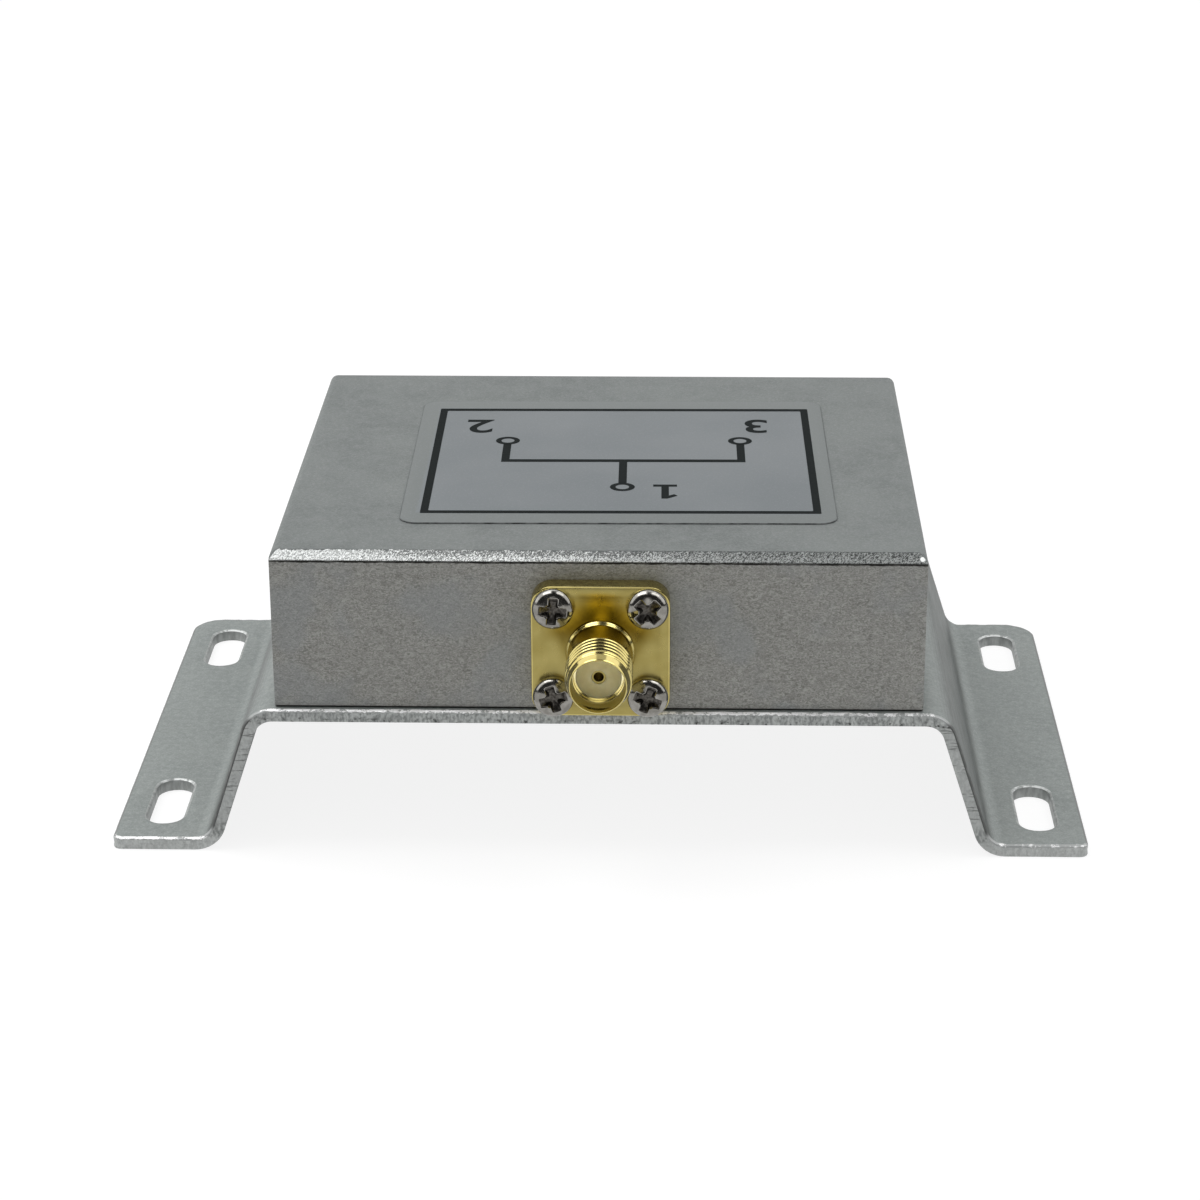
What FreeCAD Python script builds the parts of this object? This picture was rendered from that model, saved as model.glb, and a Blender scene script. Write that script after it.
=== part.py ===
"""Two-way RF power splitter: a cast box on a bent sheet bracket, one coaxial jack in front and two behind.

The frame has +X to the right and +Z up, and -Y points out of the input jack. The origin is on the floor,
under the middle of the box. Lengths are in millimetres and angles in degrees.
"""

import FreeCAD, Part
import math
import os
import re

import Sketcher

# Every driving dimension: its alias in the sheet, its value, and what it measures.
SIZES = (
    ("housing_width", 60.0, "box, left to right"),
    ("housing_depth", 54.0, "box, front to back"),
    ("housing_height", 15.4, "box, above the bracket's plate"),
    ("housing_wall", 3.2, "box's side walls"),
    ("roof_thickness", 2.2, "box's closed top"),
    ("front_chamfer", 0.75, "milled edge along the front of the top"),
    ("edge_radius", 0.8, "box's cast edges: the rest of the top's, and the upright ones behind"),
    ("seam_bevel", 0.15, "edge break where the box meets the plate"),
    ("cavity_radius", 3.0, "cutter radius in the cavity's corners"),
    ("boss_diameter", 7.0, "corner bosses for the base screws"),
    ("boss_inset", 4.5, "boss axis from the box's outer faces"),
    ("pillar_diameter", 5.0, "pillars that carry the circuit board"),
    ("pillar_spacing", 24.0, "between the front and back pillars"),
    ("sheet_thickness", 1.25, "bracket's sheet"),
    ("bracket_rise", 14.5, "floor to the top of the plate"),
    ("bracket_lip", 0.7, "plate beyond the box, front and back"),
    ("leg_offset", 2.5, "leg's bend line beyond the box's side"),
    ("leg_splay", 18.0, "legs from the vertical"),
    ("foot_width", 9.1, "foot's bend line to its edge"),
    ("bend_radius", 1.8, "inside of each bend"),
    ("foot_back_radius", 3.1, "foot corners at the back"),
    ("foot_front_radius", 0.8, "foot corners at the front"),
    ("slot_width", 3.5, "mounting slots"),
    ("slot_length", 9.8, "mounting slots, end to end"),
    ("slot_inset", 4.3, "slot's middle from the foot's side edge"),
    ("slot_setback", 8.3, "slot's middle from the foot's front or back edge"),
    ("label_width", 41.0, "sticker, left to right"),
    ("label_depth", 36.6, "sticker, front to back"),
    ("label_thickness", 0.15, "sticker"),
    ("label_radius", 1.7, "sticker's corners"),
    ("label_shift_x", 1.5, "sticker's middle, right of the box's middle"),
    ("label_shift_y", -0.95, "sticker's middle, behind the box's middle"),
    ("label_turn", 0.6, "sticker's small skew"),
    ("input_shift", 0.3, "input jack, right of the box's middle"),
    ("output_spacing", 28.0, "between the two output jacks"),
    ("flange_hole_spacing", 8.64, "between the holes of a jack's square flange"),
    ("flange_margin", 2.03, "flange beyond its holes' axes"),
    ("flange_thickness", 2.0, "jack's flange"),
    ("flange_radius", 1.9, "flange's corners"),
    ("flange_hole_gap", 0.15, "flange's holes round their screws"),
    ("flange_clearance", 0.2, "flange above the plate"),
    ("neck_diameter", 5.75, "plain neck behind the jack's thread"),
    ("neck_length", 3.5, "plain neck behind the jack's thread"),
    ("thread_diameter", 6.1, "jack's thread, over the crests"),
    ("barrel_length", 8.1, "jack, flange face to rim"),
    ("lead_in_length", 1.45, "slim nose before the thread"),
    ("lead_in_depth", 0.45, "nose's rim inside the thread's crests"),
    ("rim_land", 0.12, "flat of the rim, between the nose and the flare"),
    ("mouth_diameter", 4.55, "bore behind the flare"),
    ("mouth_depth", 2.2, "rim to the insulator's face"),
    ("insulator_diameter", 4.1, "insulator between jack and contact"),
    ("contact_diameter", 1.27, "centre contact"),
    ("contact_bore", 0.93, "centre contact's socket"),
    ("contact_bore_depth", 2.6, "centre contact's socket"),
    ("contact_recess", 0.1, "contact behind the insulator's face"),
    ("contact_tail", 3.6, "contact past the inside of the wall"),
    ("fit_gap", 0.02, "radial gap of a close fit"),
    ("jack_screw_diameter", 2.0, "screws of the jacks"),
    ("jack_screw_length", 5.0, "screws of the jacks, under the head"),
    ("jack_screw_head", 3.8, "head diameter"),
    ("jack_screw_head_height", 1.3, "head height"),
    ("board_thickness", 1.0, "circuit board"),
    ("board_margin", 0.5, "circuit board to walls and bosses"),
    ("board_hole_gap", 0.2, "circuit board round its screws"),
    ("copper_thickness", 0.07, "copper line with its plating"),
    ("copper_margin", 0.4, "copper line to the board's edge"),
    ("feed_width", 2.0, "copper line of the ports"),
    ("feed_length", 7.0, "input line up to the fork"),
    ("output_length", 8.8, "output lines from the arms"),
    ("arm_width", 1.2, "copper line of the two arms"),
    ("arm_reach", 9.0, "arm's outer run from the middle"),
    ("arm_gap", 1.4, "gap between the arms under a resistor"),
    ("section_step", 3.0, "inner run between two sections"),
    ("chip_length", 2.0, "isolation resistor, across the gap"),
    ("chip_width", 1.25, "isolation resistor"),
    ("chip_height", 0.5, "isolation resistor"),
    ("solder_film", 0.05, "solder between contact and copper"),
    ("solder_spread", 0.32, "solder beyond the contact on the copper"),
    ("solder_cover", 0.15, "solder round the rest of the contact"),
    ("board_screw_diameter", 2.0, "screws of the board"),
    ("board_screw_length", 4.0, "screws of the board, under the head"),
    ("board_screw_head", 3.5, "head diameter"),
    ("board_screw_head_height", 1.2, "head height"),
    ("base_screw_diameter", 2.5, "screws that hold the bracket"),
    ("base_screw_length", 6.0, "screws that hold the bracket, under the head"),
    ("base_screw_head", 4.7, "head diameter"),
    ("base_screw_head_height", 1.6, "head height"),
    ("base_hole_gap", 0.2, "bracket round the base screws"),
)

# Sections of the two arms, each with an isolation resistor at its far end.
ARM_SECTIONS = 3

# Share of a screw head's height that its crown slopes.
CROWN_SHARE = 0.6

# Places that several pieces share, as formulas of the sheet.
HOUSING_TOP = "(bracket_rise + housing_height)"
CAVITY_DEPTH = "(housing_height - roof_thickness)"
ROOF = f"(bracket_rise + {CAVITY_DEPTH})"
CAVITY_X = "(housing_width / 2 - housing_wall)"
CAVITY_Y = "(housing_depth / 2 - housing_wall)"
BOSS_X = "(housing_width / 2 - boss_inset)"
BOSS_Y = "(housing_depth / 2 - boss_inset)"
SHOULDER_X = "(housing_width / 2 + leg_offset)"
KNEE_X = f"({SHOULDER_X} + (bracket_rise - sheet_thickness) * tan(leg_splay))"
FOOT_X = f"({KNEE_X} + foot_width)"
FOOT_Y = "(housing_depth / 2 + bracket_lip)"
FLANGE_REACH = "(flange_hole_spacing / 2 + flange_margin)"
FLANGE_HOLE = "(flange_hole_spacing / 2)"
AXIS_HEIGHT = f"(bracket_rise + flange_clearance + {FLANGE_REACH})"
INSULATOR_BORE = "(insulator_diameter / 2 + fit_gap)"
RIM = "(flange_thickness + barrel_length)"
COPPER_FACE = f"({AXIS_HEIGHT} + contact_diameter / 2 + solder_film)"
BOARD_FACE = f"({COPPER_FACE} + copper_thickness)"
BOARD_BACK = f"({BOARD_FACE} + board_thickness)"
BOARD_X = f"({CAVITY_X} - board_margin)"
BOARD_Y = f"({CAVITY_Y} - board_margin)"
COPPER_Y = f"({BOARD_Y} - copper_margin)"
SECTION_LENGTH = f"((2 * {COPPER_Y} - feed_length - output_length) / {ARM_SECTIONS} - section_step)"
PILLAR_X = f"((output_spacing / 2 + feed_width / 2 + {BOARD_X}) / 2)"
PILLAR_Y = "(pillar_spacing / 2)"

# Each port: its name, its place across the box, the wall it is on, and its turn about the vertical.
PORTS = (
    ("input", "input_shift", "-housing_depth / 2", 0.0),
    ("output_1", "-output_spacing / 2", "housing_depth / 2", 180.0),
    ("output_2", "output_spacing / 2", "housing_depth / 2", 180.0),
)

CORNERS = ((-1, 1), (1, 1), (-1, -1), (1, -1))

# Two points closer than this are the same point.
NEAR = 0.001

doc = FreeCAD.newDocument("rf_power_splitter")
sheet = doc.addObject("Spreadsheet::Sheet", "Sizes")
subparts = []


def fill_sheet():
    for row, (alias, value, meaning) in enumerate(SIZES, start=1):
        sheet.set(f"A{row}", meaning)
        sheet.set(f"B{row}", str(value))
        sheet.setAlias(f"B{row}", alias)
    doc.recompute()


def linked(formula):
    """The formula with each alias written as the sheet's own."""
    return re.sub(r"\b[a-z]+(_[a-z]+)+\b", r"Sizes.\g<0>", formula)


def size(formula):
    """The value of a formula."""
    value = sheet.evalExpression(linked(formula))
    return float(getattr(value, "Value", value))


def bind(thing, **formulas):
    """Ties properties to formulas, with __ for a dot in a property's path."""
    for name, formula in formulas.items():
        thing.setExpression(name.replace("__", "."), linked(formula))


def new_body(label):
    body = doc.addObject("PartDesign::Body", label)
    body.Label = label
    subparts.append(body)
    return body


def new_feature(label, shape):
    """A sub-part whose shape is made directly."""
    feature = doc.addObject("Part::Feature", label)
    feature.Label = label
    feature.Shape = shape
    subparts.append(feature)
    return feature


def new_sketch(body, name, plane="XY_Plane", offset="0"):
    """A sketch on one of the body's own planes, moved along the plane's normal."""
    sketch = body.newObject("Sketcher::SketchObject", name)
    support = [item for item in body.Origin.OriginFeatures if item.Role == plane]
    sketch.AttachmentSupport = [(support[0], "")]
    sketch.MapMode = "FlatFace"
    bind(sketch, AttachmentOffset__Base__z=offset)
    return sketch


def dimension(sketch, kind, *targets, to):
    index = sketch.addConstraint(Sketcher.Constraint(kind, *targets, size(to)))
    sketch.setExpression(f"Constraints[{index}]", linked(to))


def pin_point(sketch, geometry, end, x, y):
    """Holds one end or centre at a place in the sketch."""
    for kind, axis, formula in (("DistanceX", -2, x), ("DistanceY", -1, y)):
        value = size(formula)
        if abs(value) < NEAR:
            sketch.addConstraint(Sketcher.Constraint("PointOnObject", geometry, end, axis))
        elif value > 0:
            dimension(sketch, kind, -1, 1, geometry, end, to=formula)
        else:
            dimension(sketch, kind, geometry, end, -1, 1, to=f"-({formula})")


def outline(sketch, corners):
    """A closed run of straight lines through the corners, each a pair of formulas."""
    points = [FreeCAD.Vector(size(x), size(y), 0) for x, y in corners]
    first = sketch.GeometryCount
    count = len(points)
    for index in range(count):
        line = Part.LineSegment(points[index], points[(index + 1) % count])
        sketch.addGeometry(line, False)
    for index in range(count):
        following = first + (index + 1) % count
        sketch.addConstraint(Sketcher.Constraint("Coincident", first + index, 2, following, 1))
        pin_point(sketch, first + index, 1, *corners[index])


def rectangle(sketch, width, depth):
    """A rectangle about the sketch's origin."""
    x = f"({width}) / 2"
    y = f"({depth}) / 2"
    outline(sketch, ((f"-{x}", f"-{y}"), (x, f"-{y}"), (x, y), (f"-{x}", y)))


def circle(sketch, x, y, radius):
    centre = FreeCAD.Vector(size(x), size(y), 0)
    index = sketch.addGeometry(Part.Circle(centre, FreeCAD.Vector(0, 0, 1), size(radius)), False)
    pin_point(sketch, index, 3, x, y)
    dimension(sketch, "Radius", index, to=radius)


def slot(sketch, x, y, width, length):
    """A slot along the sketch's Y axis, with round ends."""
    radius = f"{width} / 2"
    reach = f"({length} - {width}) / 2"
    r = size(radius)
    low = FreeCAD.Vector(size(x), size(f"{y} - {reach}"), 0)
    high = FreeCAD.Vector(size(x), size(f"{y} + {reach}"), 0)
    side = FreeCAD.Vector(r, 0, 0)
    up = FreeCAD.Vector(0, 0, 1)
    top = sketch.addGeometry(Part.ArcOfCircle(Part.Circle(high, up, r), 0, math.pi), False)
    left = sketch.addGeometry(Part.LineSegment(high - side, low - side), False)
    bottom = sketch.addGeometry(Part.ArcOfCircle(Part.Circle(low, up, r), math.pi, 2 * math.pi), False)
    right = sketch.addGeometry(Part.LineSegment(low + side, high + side), False)
    for first, first_end, second, second_end in (
        (top, 2, left, 1),
        (left, 2, bottom, 1),
        (bottom, 2, right, 1),
        (right, 2, top, 1),
    ):
        sketch.addConstraint(Sketcher.Constraint("Tangent", first, first_end, second, second_end))
    pin_point(sketch, top, 3, x, f"{y} + {reach}")
    pin_point(sketch, bottom, 3, x, f"{y} - {reach}")
    dimension(sketch, "Radius", top, to=radius)


def pad(body, sketch, length, down=False, both=False):
    feature = body.newObject("PartDesign::Pad", f"{sketch.Label}_pad")
    feature.Profile = sketch
    feature.Reversed = down
    feature.Midplane = both
    bind(feature, Length=length)
    doc.recompute()
    return feature


def pocket(body, sketch, depth=None, against=False):
    """A cut along the sketch's normal or against it, or with no depth through all, both ways."""
    before = body.Shape.Volume
    feature = body.newObject("PartDesign::Pocket", f"{sketch.Label}_pocket")
    feature.Profile = sketch
    if depth is None:
        feature.Type = "ThroughAll"
        feature.Midplane = True
    else:
        feature.Reversed = not against
        bind(feature, Length=depth)
    doc.recompute()
    if body.Shape.Volume > before - NEAR:
        raise RuntimeError(f"{feature.Label} cuts nothing")
    return feature


def revolve(body, sketch):
    """A full turn of the sketch about its vertical axis."""
    feature = body.newObject("PartDesign::Revolution", f"{sketch.Label}_turned")
    feature.Profile = sketch
    feature.ReferenceAxis = (sketch, ["V_Axis"])
    feature.Angle = 360
    doc.recompute()
    return feature


def edges_where(feature, test):
    """Names of the feature's edges that pass the test."""
    edges = enumerate(feature.Shape.Edges, start=1)
    return [f"Edge{number}" for number, edge in edges if test(edge)]


def is_along(edge, axis):
    """Whether an edge is straight and runs along an axis."""
    if len(edge.Vertexes) < 2:
        return False
    run = edge.Vertexes[1].Point - edge.Vertexes[0].Point
    straight = edge.Length - run.Length < NEAR
    return straight and run.Length > NEAR and abs(run.dot(axis)) > run.Length - NEAR


def dress(body, kind, edges, radius):
    """A fillet or chamfer on some edges of the body's last feature."""
    base = body.Tip
    feature = body.newObject(f"PartDesign::{kind}", f"{body.Label}_{kind.lower()}")
    feature.Base = (base, edges)
    bind(feature, **{"Radius" if kind == "Fillet" else "Size": radius})
    doc.recompute()
    return feature


def at_height(formula):
    """A test for edges that lie level at one height."""
    height = size(formula)

    def test(edge):
        return all(abs(vertex.Z - height) < NEAR for vertex in edge.Vertexes)

    return test


def housing_blank(body):
    """The box's outside: cast edges, one milled along the top's front, and an edge break at the seam."""
    block = new_sketch(body, "housing_block", offset="bracket_rise")
    rectangle(block, "housing_width", "housing_depth")
    feature = pad(body, block, "housing_height")
    on_top = at_height(HOUSING_TOP)
    front = -size("housing_depth / 2")

    def is_milled(edge):
        return on_top(edge) and all(abs(vertex.Y - front) < NEAR for vertex in edge.Vertexes)

    def is_cast(edge):
        upright = is_along(edge, FreeCAD.Vector(0, 0, 1))
        return max(vertex.Y for vertex in edge.Vertexes) > 0 and (on_top(edge) or upright)

    feature = dress(body, "Chamfer", edges_where(feature, is_milled), "front_chamfer")
    feature = dress(body, "Fillet", edges_where(feature, is_cast), "edge_radius")
    dress(body, "Chamfer", edges_where(feature, at_height("bracket_rise")), "seam_bevel")


def housing_cavity(body):
    """The cavity, open below, with bosses in its corners and pillars for the board."""
    cavity = new_sketch(body, "housing_cavity", offset="bracket_rise")
    rectangle(cavity, f"2 * {CAVITY_X}", f"2 * {CAVITY_Y}")
    feature = pocket(body, cavity, CAVITY_DEPTH)
    inner_x = size(CAVITY_X)

    def is_cavity_corner(edge):
        return is_along(edge, FreeCAD.Vector(0, 0, 1)) and abs(abs(edge.Vertexes[0].X) - inner_x) < NEAR

    dress(body, "Fillet", edges_where(feature, is_cavity_corner), "cavity_radius")
    bosses = new_sketch(body, "housing_bosses", offset=ROOF)
    pillars = new_sketch(body, "housing_pillars", offset=ROOF)
    for x, y in CORNERS:
        circle(bosses, f"{x} * {BOSS_X}", f"{y} * {BOSS_Y}", "boss_diameter / 2")
        circle(pillars, f"{x} * {PILLAR_X}", f"{y} * {PILLAR_Y}", "pillar_diameter / 2")
    pad(body, bosses, CAVITY_DEPTH, down=True)
    pad(body, pillars, f"{ROOF} - {BOARD_BACK}", down=True)


def housing_tapped_holes(body):
    """Threaded holes for the base screws in the bosses and for the board screws in the pillars."""
    base = new_sketch(body, "housing_base_holes", offset="bracket_rise")
    board = new_sketch(body, "housing_board_holes", offset=BOARD_BACK)
    for x, y in CORNERS:
        circle(base, f"{x} * {BOSS_X}", f"{y} * {BOSS_Y}", "base_screw_diameter / 2 + fit_gap")
        circle(board, f"{x} * {PILLAR_X}", f"{y} * {PILLAR_Y}", "board_screw_diameter / 2 + fit_gap")
    pocket(body, base, "base_screw_length")
    pocket(body, board, "board_screw_length - board_thickness + fit_gap")


def housing_jack_holes(body, port, x, wall):
    """One jack's holes in its wall: one for the insulator and four threaded ones."""
    front = size(wall) < 0
    middle = new_sketch(body, f"housing_{port}_bore", "XZ_Plane", f"-({wall})")
    circle(middle, x, AXIS_HEIGHT, INSULATOR_BORE)
    pocket(body, middle, "housing_wall", against=front)
    threaded = new_sketch(body, f"housing_{port}_threads", "XZ_Plane", f"-({wall})")
    for side, level in CORNERS:
        across = f"{x} + {side} * {FLANGE_HOLE}"
        above = f"{AXIS_HEIGHT} + {level} * {FLANGE_HOLE}"
        circle(threaded, across, above, "jack_screw_diameter / 2 + fit_gap")
    pocket(body, threaded, "jack_screw_length", against=front)


def make_housing():
    body = new_body("housing")
    housing_blank(body)
    housing_cavity(body)
    housing_tapped_holes(body)
    for port, x, wall, turn in PORTS:
        housing_jack_holes(body, port, x, wall)


def bracket_profile():
    """The bracket's section, right half first: the upper side outwards, then the under side back."""
    bend_shift = "sheet_thickness * tan(45 - leg_splay / 2)"
    right = (
        (SHOULDER_X, "bracket_rise"),
        (KNEE_X, "sheet_thickness"),
        (FOOT_X, "sheet_thickness"),
        (FOOT_X, "0"),
        (f"{KNEE_X} - {bend_shift}", "0"),
        (f"{SHOULDER_X} - {bend_shift}", "bracket_rise - sheet_thickness"),
    )
    left = tuple((f"-({x})", z) for x, z in reversed(right))
    return right + left


def bracket_bends(body, feature, profile):
    """Rounds the bends: the inside of each by the bend radius, and the outside by the sheet more."""
    shoulder_out, knee_in, foot_top, foot_base, knee_out, shoulder_in = profile[:6]

    def bend_edges(feature, corners):
        places = [(abs(size(x)), size(z)) for x, z in corners]

        def test(edge):
            start = edge.Vertexes[0]
            level = is_along(edge, FreeCAD.Vector(0, 1, 0))
            near = [math.hypot(abs(start.X) - x, start.Z - z) < NEAR for x, z in places]
            return level and any(near)

        return edges_where(feature, test)

    feature = dress(body, "Fillet", bend_edges(feature, (shoulder_in, knee_in)), "bend_radius")
    outside = bend_edges(feature, (shoulder_out, knee_out))
    return dress(body, "Fillet", outside, "bend_radius + sheet_thickness")


def bracket_foot_corners(body, feature, back, radius):
    """Rounds the feet's outer corners at the back or at the front."""
    reach = size(FOOT_X)

    def test(edge):
        start = edge.Vertexes[0]
        outer = abs(abs(start.X) - reach) < NEAR and (start.Y > 0) == back
        return outer and is_along(edge, FreeCAD.Vector(0, 0, 1))

    return dress(body, "Fillet", edges_where(feature, test), radius)


def make_bracket():
    body = new_body("mounting_bracket")
    section = new_sketch(body, "bracket_section", "XZ_Plane")
    profile = bracket_profile()
    outline(section, profile)
    feature = pad(body, section, f"2 * {FOOT_Y}", both=True)
    feature = bracket_bends(body, feature, profile)
    feature = bracket_foot_corners(body, feature, True, "foot_back_radius")
    bracket_foot_corners(body, feature, False, "foot_front_radius")
    holes = new_sketch(body, "bracket_holes")
    for x, y in CORNERS:
        slot_x = f"{x} * ({FOOT_X} - slot_inset)"
        slot_y = f"{y} * ({FOOT_Y} - slot_setback)"
        slot(holes, slot_x, slot_y, "slot_width", "slot_length")
        circle(holes, f"{x} * {BOSS_X}", f"{y} * {BOSS_Y}", "base_screw_diameter / 2 + base_hole_gap")
    pocket(body, holes)


def make_label():
    """The blank sticker on the box's top."""
    body = new_body("label")
    sheet_outline = new_sketch(body, "label_outline")
    rectangle(sheet_outline, "label_width", "label_depth")
    feature = pad(body, sheet_outline, "label_thickness")
    upright = edges_where(feature, lambda edge: is_along(edge, FreeCAD.Vector(0, 0, 1)))
    dress(body, "Fillet", upright, "label_radius")
    body.Placement.Rotation = FreeCAD.Rotation(FreeCAD.Vector(0, 0, 1), size("label_turn"))
    bind(body, Placement__Base__x="label_shift_x")
    bind(body, Placement__Base__y="label_shift_y")
    bind(body, Placement__Base__z=HOUSING_TOP)
    bind(body, Placement__Rotation__Angle="label_turn")


def seat_on_wall(piece, x, wall, turn):
    """Moves a jack's piece from its own frame, with Z outwards from the wall, to its port."""
    piece.Placement.Rotation = FreeCAD.Rotation(turn, 0, 90)
    bind(piece, Placement__Base__x=x)
    bind(piece, Placement__Base__y=wall)
    bind(piece, Placement__Base__z=AXIS_HEIGHT)


def make_jack_body(port):
    """The gilt body in one: square flange, neck, threaded barrel, slim nose and flared mouth."""
    body = new_body(f"{port}_jack")
    plate = new_sketch(body, f"{port}_flange")
    rectangle(plate, f"2 * {FLANGE_REACH}", f"2 * {FLANGE_REACH}")
    for x, y in CORNERS:
        clear = "jack_screw_diameter / 2 + flange_hole_gap"
        circle(plate, f"{x} * {FLANGE_HOLE}", f"{y} * {FLANGE_HOLE}", clear)
    circle(plate, "0", "0", INSULATOR_BORE)
    feature = pad(body, plate, "flange_thickness")
    reach = size(FLANGE_REACH)

    def is_corner(edge):
        return is_along(edge, FreeCAD.Vector(0, 0, 1)) and abs(abs(edge.Vertexes[0].X) - reach) < NEAR

    dress(body, "Fillet", edges_where(feature, is_corner), "flange_radius")
    section = new_sketch(body, f"{port}_barrel", "XZ_Plane")
    thread_start = "flange_thickness + neck_length"
    nose_radius = "thread_diameter / 2 - lead_in_depth"
    outline(section, (
        (INSULATOR_BORE, "flange_thickness"),
        ("neck_diameter / 2", "flange_thickness"),
        ("neck_diameter / 2", thread_start),
        ("thread_diameter / 2", thread_start),
        ("thread_diameter / 2", f"{RIM} - lead_in_length"),
        (nose_radius, RIM),
        (f"{nose_radius} - rim_land", RIM),
        ("mouth_diameter / 2", f"{RIM} - lead_in_length"),
        ("mouth_diameter / 2", f"{RIM} - mouth_depth"),
        (INSULATOR_BORE, f"{RIM} - mouth_depth"),
    ))
    revolve(body, section)
    return body


def make_insulator(port):
    """The white tube that holds the contact, from the mouth's floor through the wall."""
    body = new_body(f"{port}_insulator")
    section = new_sketch(body, f"{port}_insulator_section", "XZ_Plane")
    face = f"{RIM} - mouth_depth"
    outline(section, (
        ("contact_diameter / 2 + fit_gap", "-housing_wall"),
        ("insulator_diameter / 2", "-housing_wall"),
        ("insulator_diameter / 2", face),
        ("contact_diameter / 2 + fit_gap", face),
    ))
    revolve(body, section)
    return body


def make_contact(port):
    """The centre contact: a socket in front, and a tail over the board."""
    body = new_body(f"{port}_contact")
    section = new_sketch(body, f"{port}_contact_section", "XZ_Plane")
    tip = f"{RIM} - mouth_depth - contact_recess"
    tail = "-(housing_wall + contact_tail)"
    outline(section, (
        ("0", tail),
        ("contact_diameter / 2", tail),
        ("contact_diameter / 2", tip),
        ("contact_bore / 2", tip),
        ("contact_bore / 2", f"{tip} - contact_bore_depth"),
        ("0", f"{tip} - contact_bore_depth"),
    ))
    revolve(body, section)
    return body


def make_screws(label, kind, reach_x, reach_y, level, heads_up):
    """Four like pan head screws at the corners of a rectangle, their heads seated at one level."""
    body = new_body(label)
    body.AllowCompound = True
    shanks = new_sketch(body, f"{label}_shanks", offset=level)
    heads = new_sketch(body, f"{label}_heads", offset=level)
    for x, y in CORNERS:
        circle(shanks, f"{x} * {reach_x}", f"{y} * {reach_y}", f"{kind}_diameter / 2")
        circle(heads, f"{x} * {reach_x}", f"{y} * {reach_y}", f"{kind}_head / 2")
    pad(body, shanks, f"{kind}_length", down=heads_up)
    feature = pad(body, heads, f"{kind}_head_height", down=not heads_up)
    sign = "+" if heads_up else "-"
    crown = edges_where(feature, at_height(f"{level} {sign} {kind}_head_height"))
    dress(body, "Chamfer", crown, f"{CROWN_SHARE} * {kind}_head_height")
    return body


def make_jack_screws(port):
    label = f"{port}_jack_screws"
    return make_screws(label, "jack_screw", FLANGE_HOLE, FLANGE_HOLE, "flange_thickness", True)


def make_jacks():
    for port, x, wall, turn in PORTS:
        for make in (make_jack_body, make_insulator, make_contact, make_jack_screws):
            seat_on_wall(make(port), x, wall, turn)


def make_board():
    """The circuit board, notched round the corner bosses, with holes for its screws."""
    body = new_body("circuit_board")
    edge = new_sketch(body, "board_outline", offset=BOARD_FACE)
    notch_x = f"{BOSS_X} - boss_diameter / 2 - board_margin"
    notch_y = f"{BOSS_Y} - boss_diameter / 2 - board_margin"
    quarter = ((BOARD_X, notch_y), (notch_x, notch_y), (notch_x, BOARD_Y))
    right = tuple((x, f"-({y})") for x, y in reversed(quarter)) + quarter
    left = tuple((f"-({x})", y) for x, y in reversed(right))
    outline(edge, right + left)
    for x, y in CORNERS:
        circle(edge, f"{x} * {PILLAR_X}", f"{y} * {PILLAR_Y}", "board_screw_diameter / 2 + board_hole_gap")
    pad(body, edge, "board_thickness")


def ribbon(points, width):
    """A flat strip of copper along a path, with mitred corners, hanging down from the origin's height."""
    path = [FreeCAD.Vector(x, y, 0) for x, y in points]
    up = FreeCAD.Vector(0, 0, 1)
    runs = [(after - before).normalize() for before, after in zip(path, path[1:])]
    sides = [up.cross(run) for run in runs]
    left = []
    right = []
    for index, point in enumerate(path):
        before = sides[max(index - 1, 0)]
        after = sides[min(index, len(sides) - 1)]
        mitre = (before + after) * (width / 2 / (1 + before.dot(after)))
        left.append(point + mitre)
        right.append(point - mitre)
    corners = left + right[::-1]
    face = Part.Face(Part.makePolygon(corners + corners[:1]))
    return face.extrude(FreeCAD.Vector(0, 0, -size("copper_thickness")))


def resistor_level(index):
    """Where along the board a resistor bridges the arms, as a formula."""
    return f"feed_length - {COPPER_Y} + {SECTION_LENGTH} + {index} * ({SECTION_LENGTH} + section_step)"


def arm_path(side):
    """One arm from the fork to its output line, folding out and back in each section."""
    inner = side * size("(arm_gap + arm_width) / 2")
    outer = side * size("arm_reach")
    port = side * size("output_spacing / 2")
    points = [(size("input_shift"), size(f"feed_length - {COPPER_Y}"))]
    for index in range(ARM_SECTIONS):
        level = size(resistor_level(index))
        after = level + size("section_step")
        points += [(outer, points[-1][1]), (outer, level), (inner, level), (inner, after)]
    return points + [(port, points[-1][1])]


def make_copper():
    """The copper lines: the input line, its fork into two folded arms, and the two output lines."""
    feed_width = size("feed_width")
    arm_width = size("arm_width")
    edge = size(COPPER_Y)
    fork_x, fork_y = arm_path(1)[0]
    copper = ribbon([(fork_x, -edge), (fork_x, fork_y + arm_width / 2)], feed_width)
    for side in (-1, 1):
        arm = arm_path(side)
        port, turn = arm[-1]
        output = ribbon([(port, turn - arm_width / 2), (port, edge)], feed_width)
        copper = copper.fuse([ribbon(arm, arm_width), output])
    feature = new_feature("copper_lines", copper.removeSplitter())
    bind(feature, Placement__Base__z=BOARD_FACE)


def make_resistors():
    """Chip resistors that bridge the two arms at the end of each section."""
    for index in range(ARM_SECTIONS):
        label = f"isolation_resistor_{index + 1}"
        chip = doc.addObject("Part::Box", label)
        chip.Label = label
        bind(chip, Length="chip_length", Width="chip_width", Height="chip_height")
        bind(chip, Placement__Base__x="-chip_length / 2")
        bind(chip, Placement__Base__y=f"{resistor_level(index)} - chip_width / 2")
        bind(chip, Placement__Base__z=f"{COPPER_FACE} - chip_height")
        subparts.append(chip)


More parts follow.
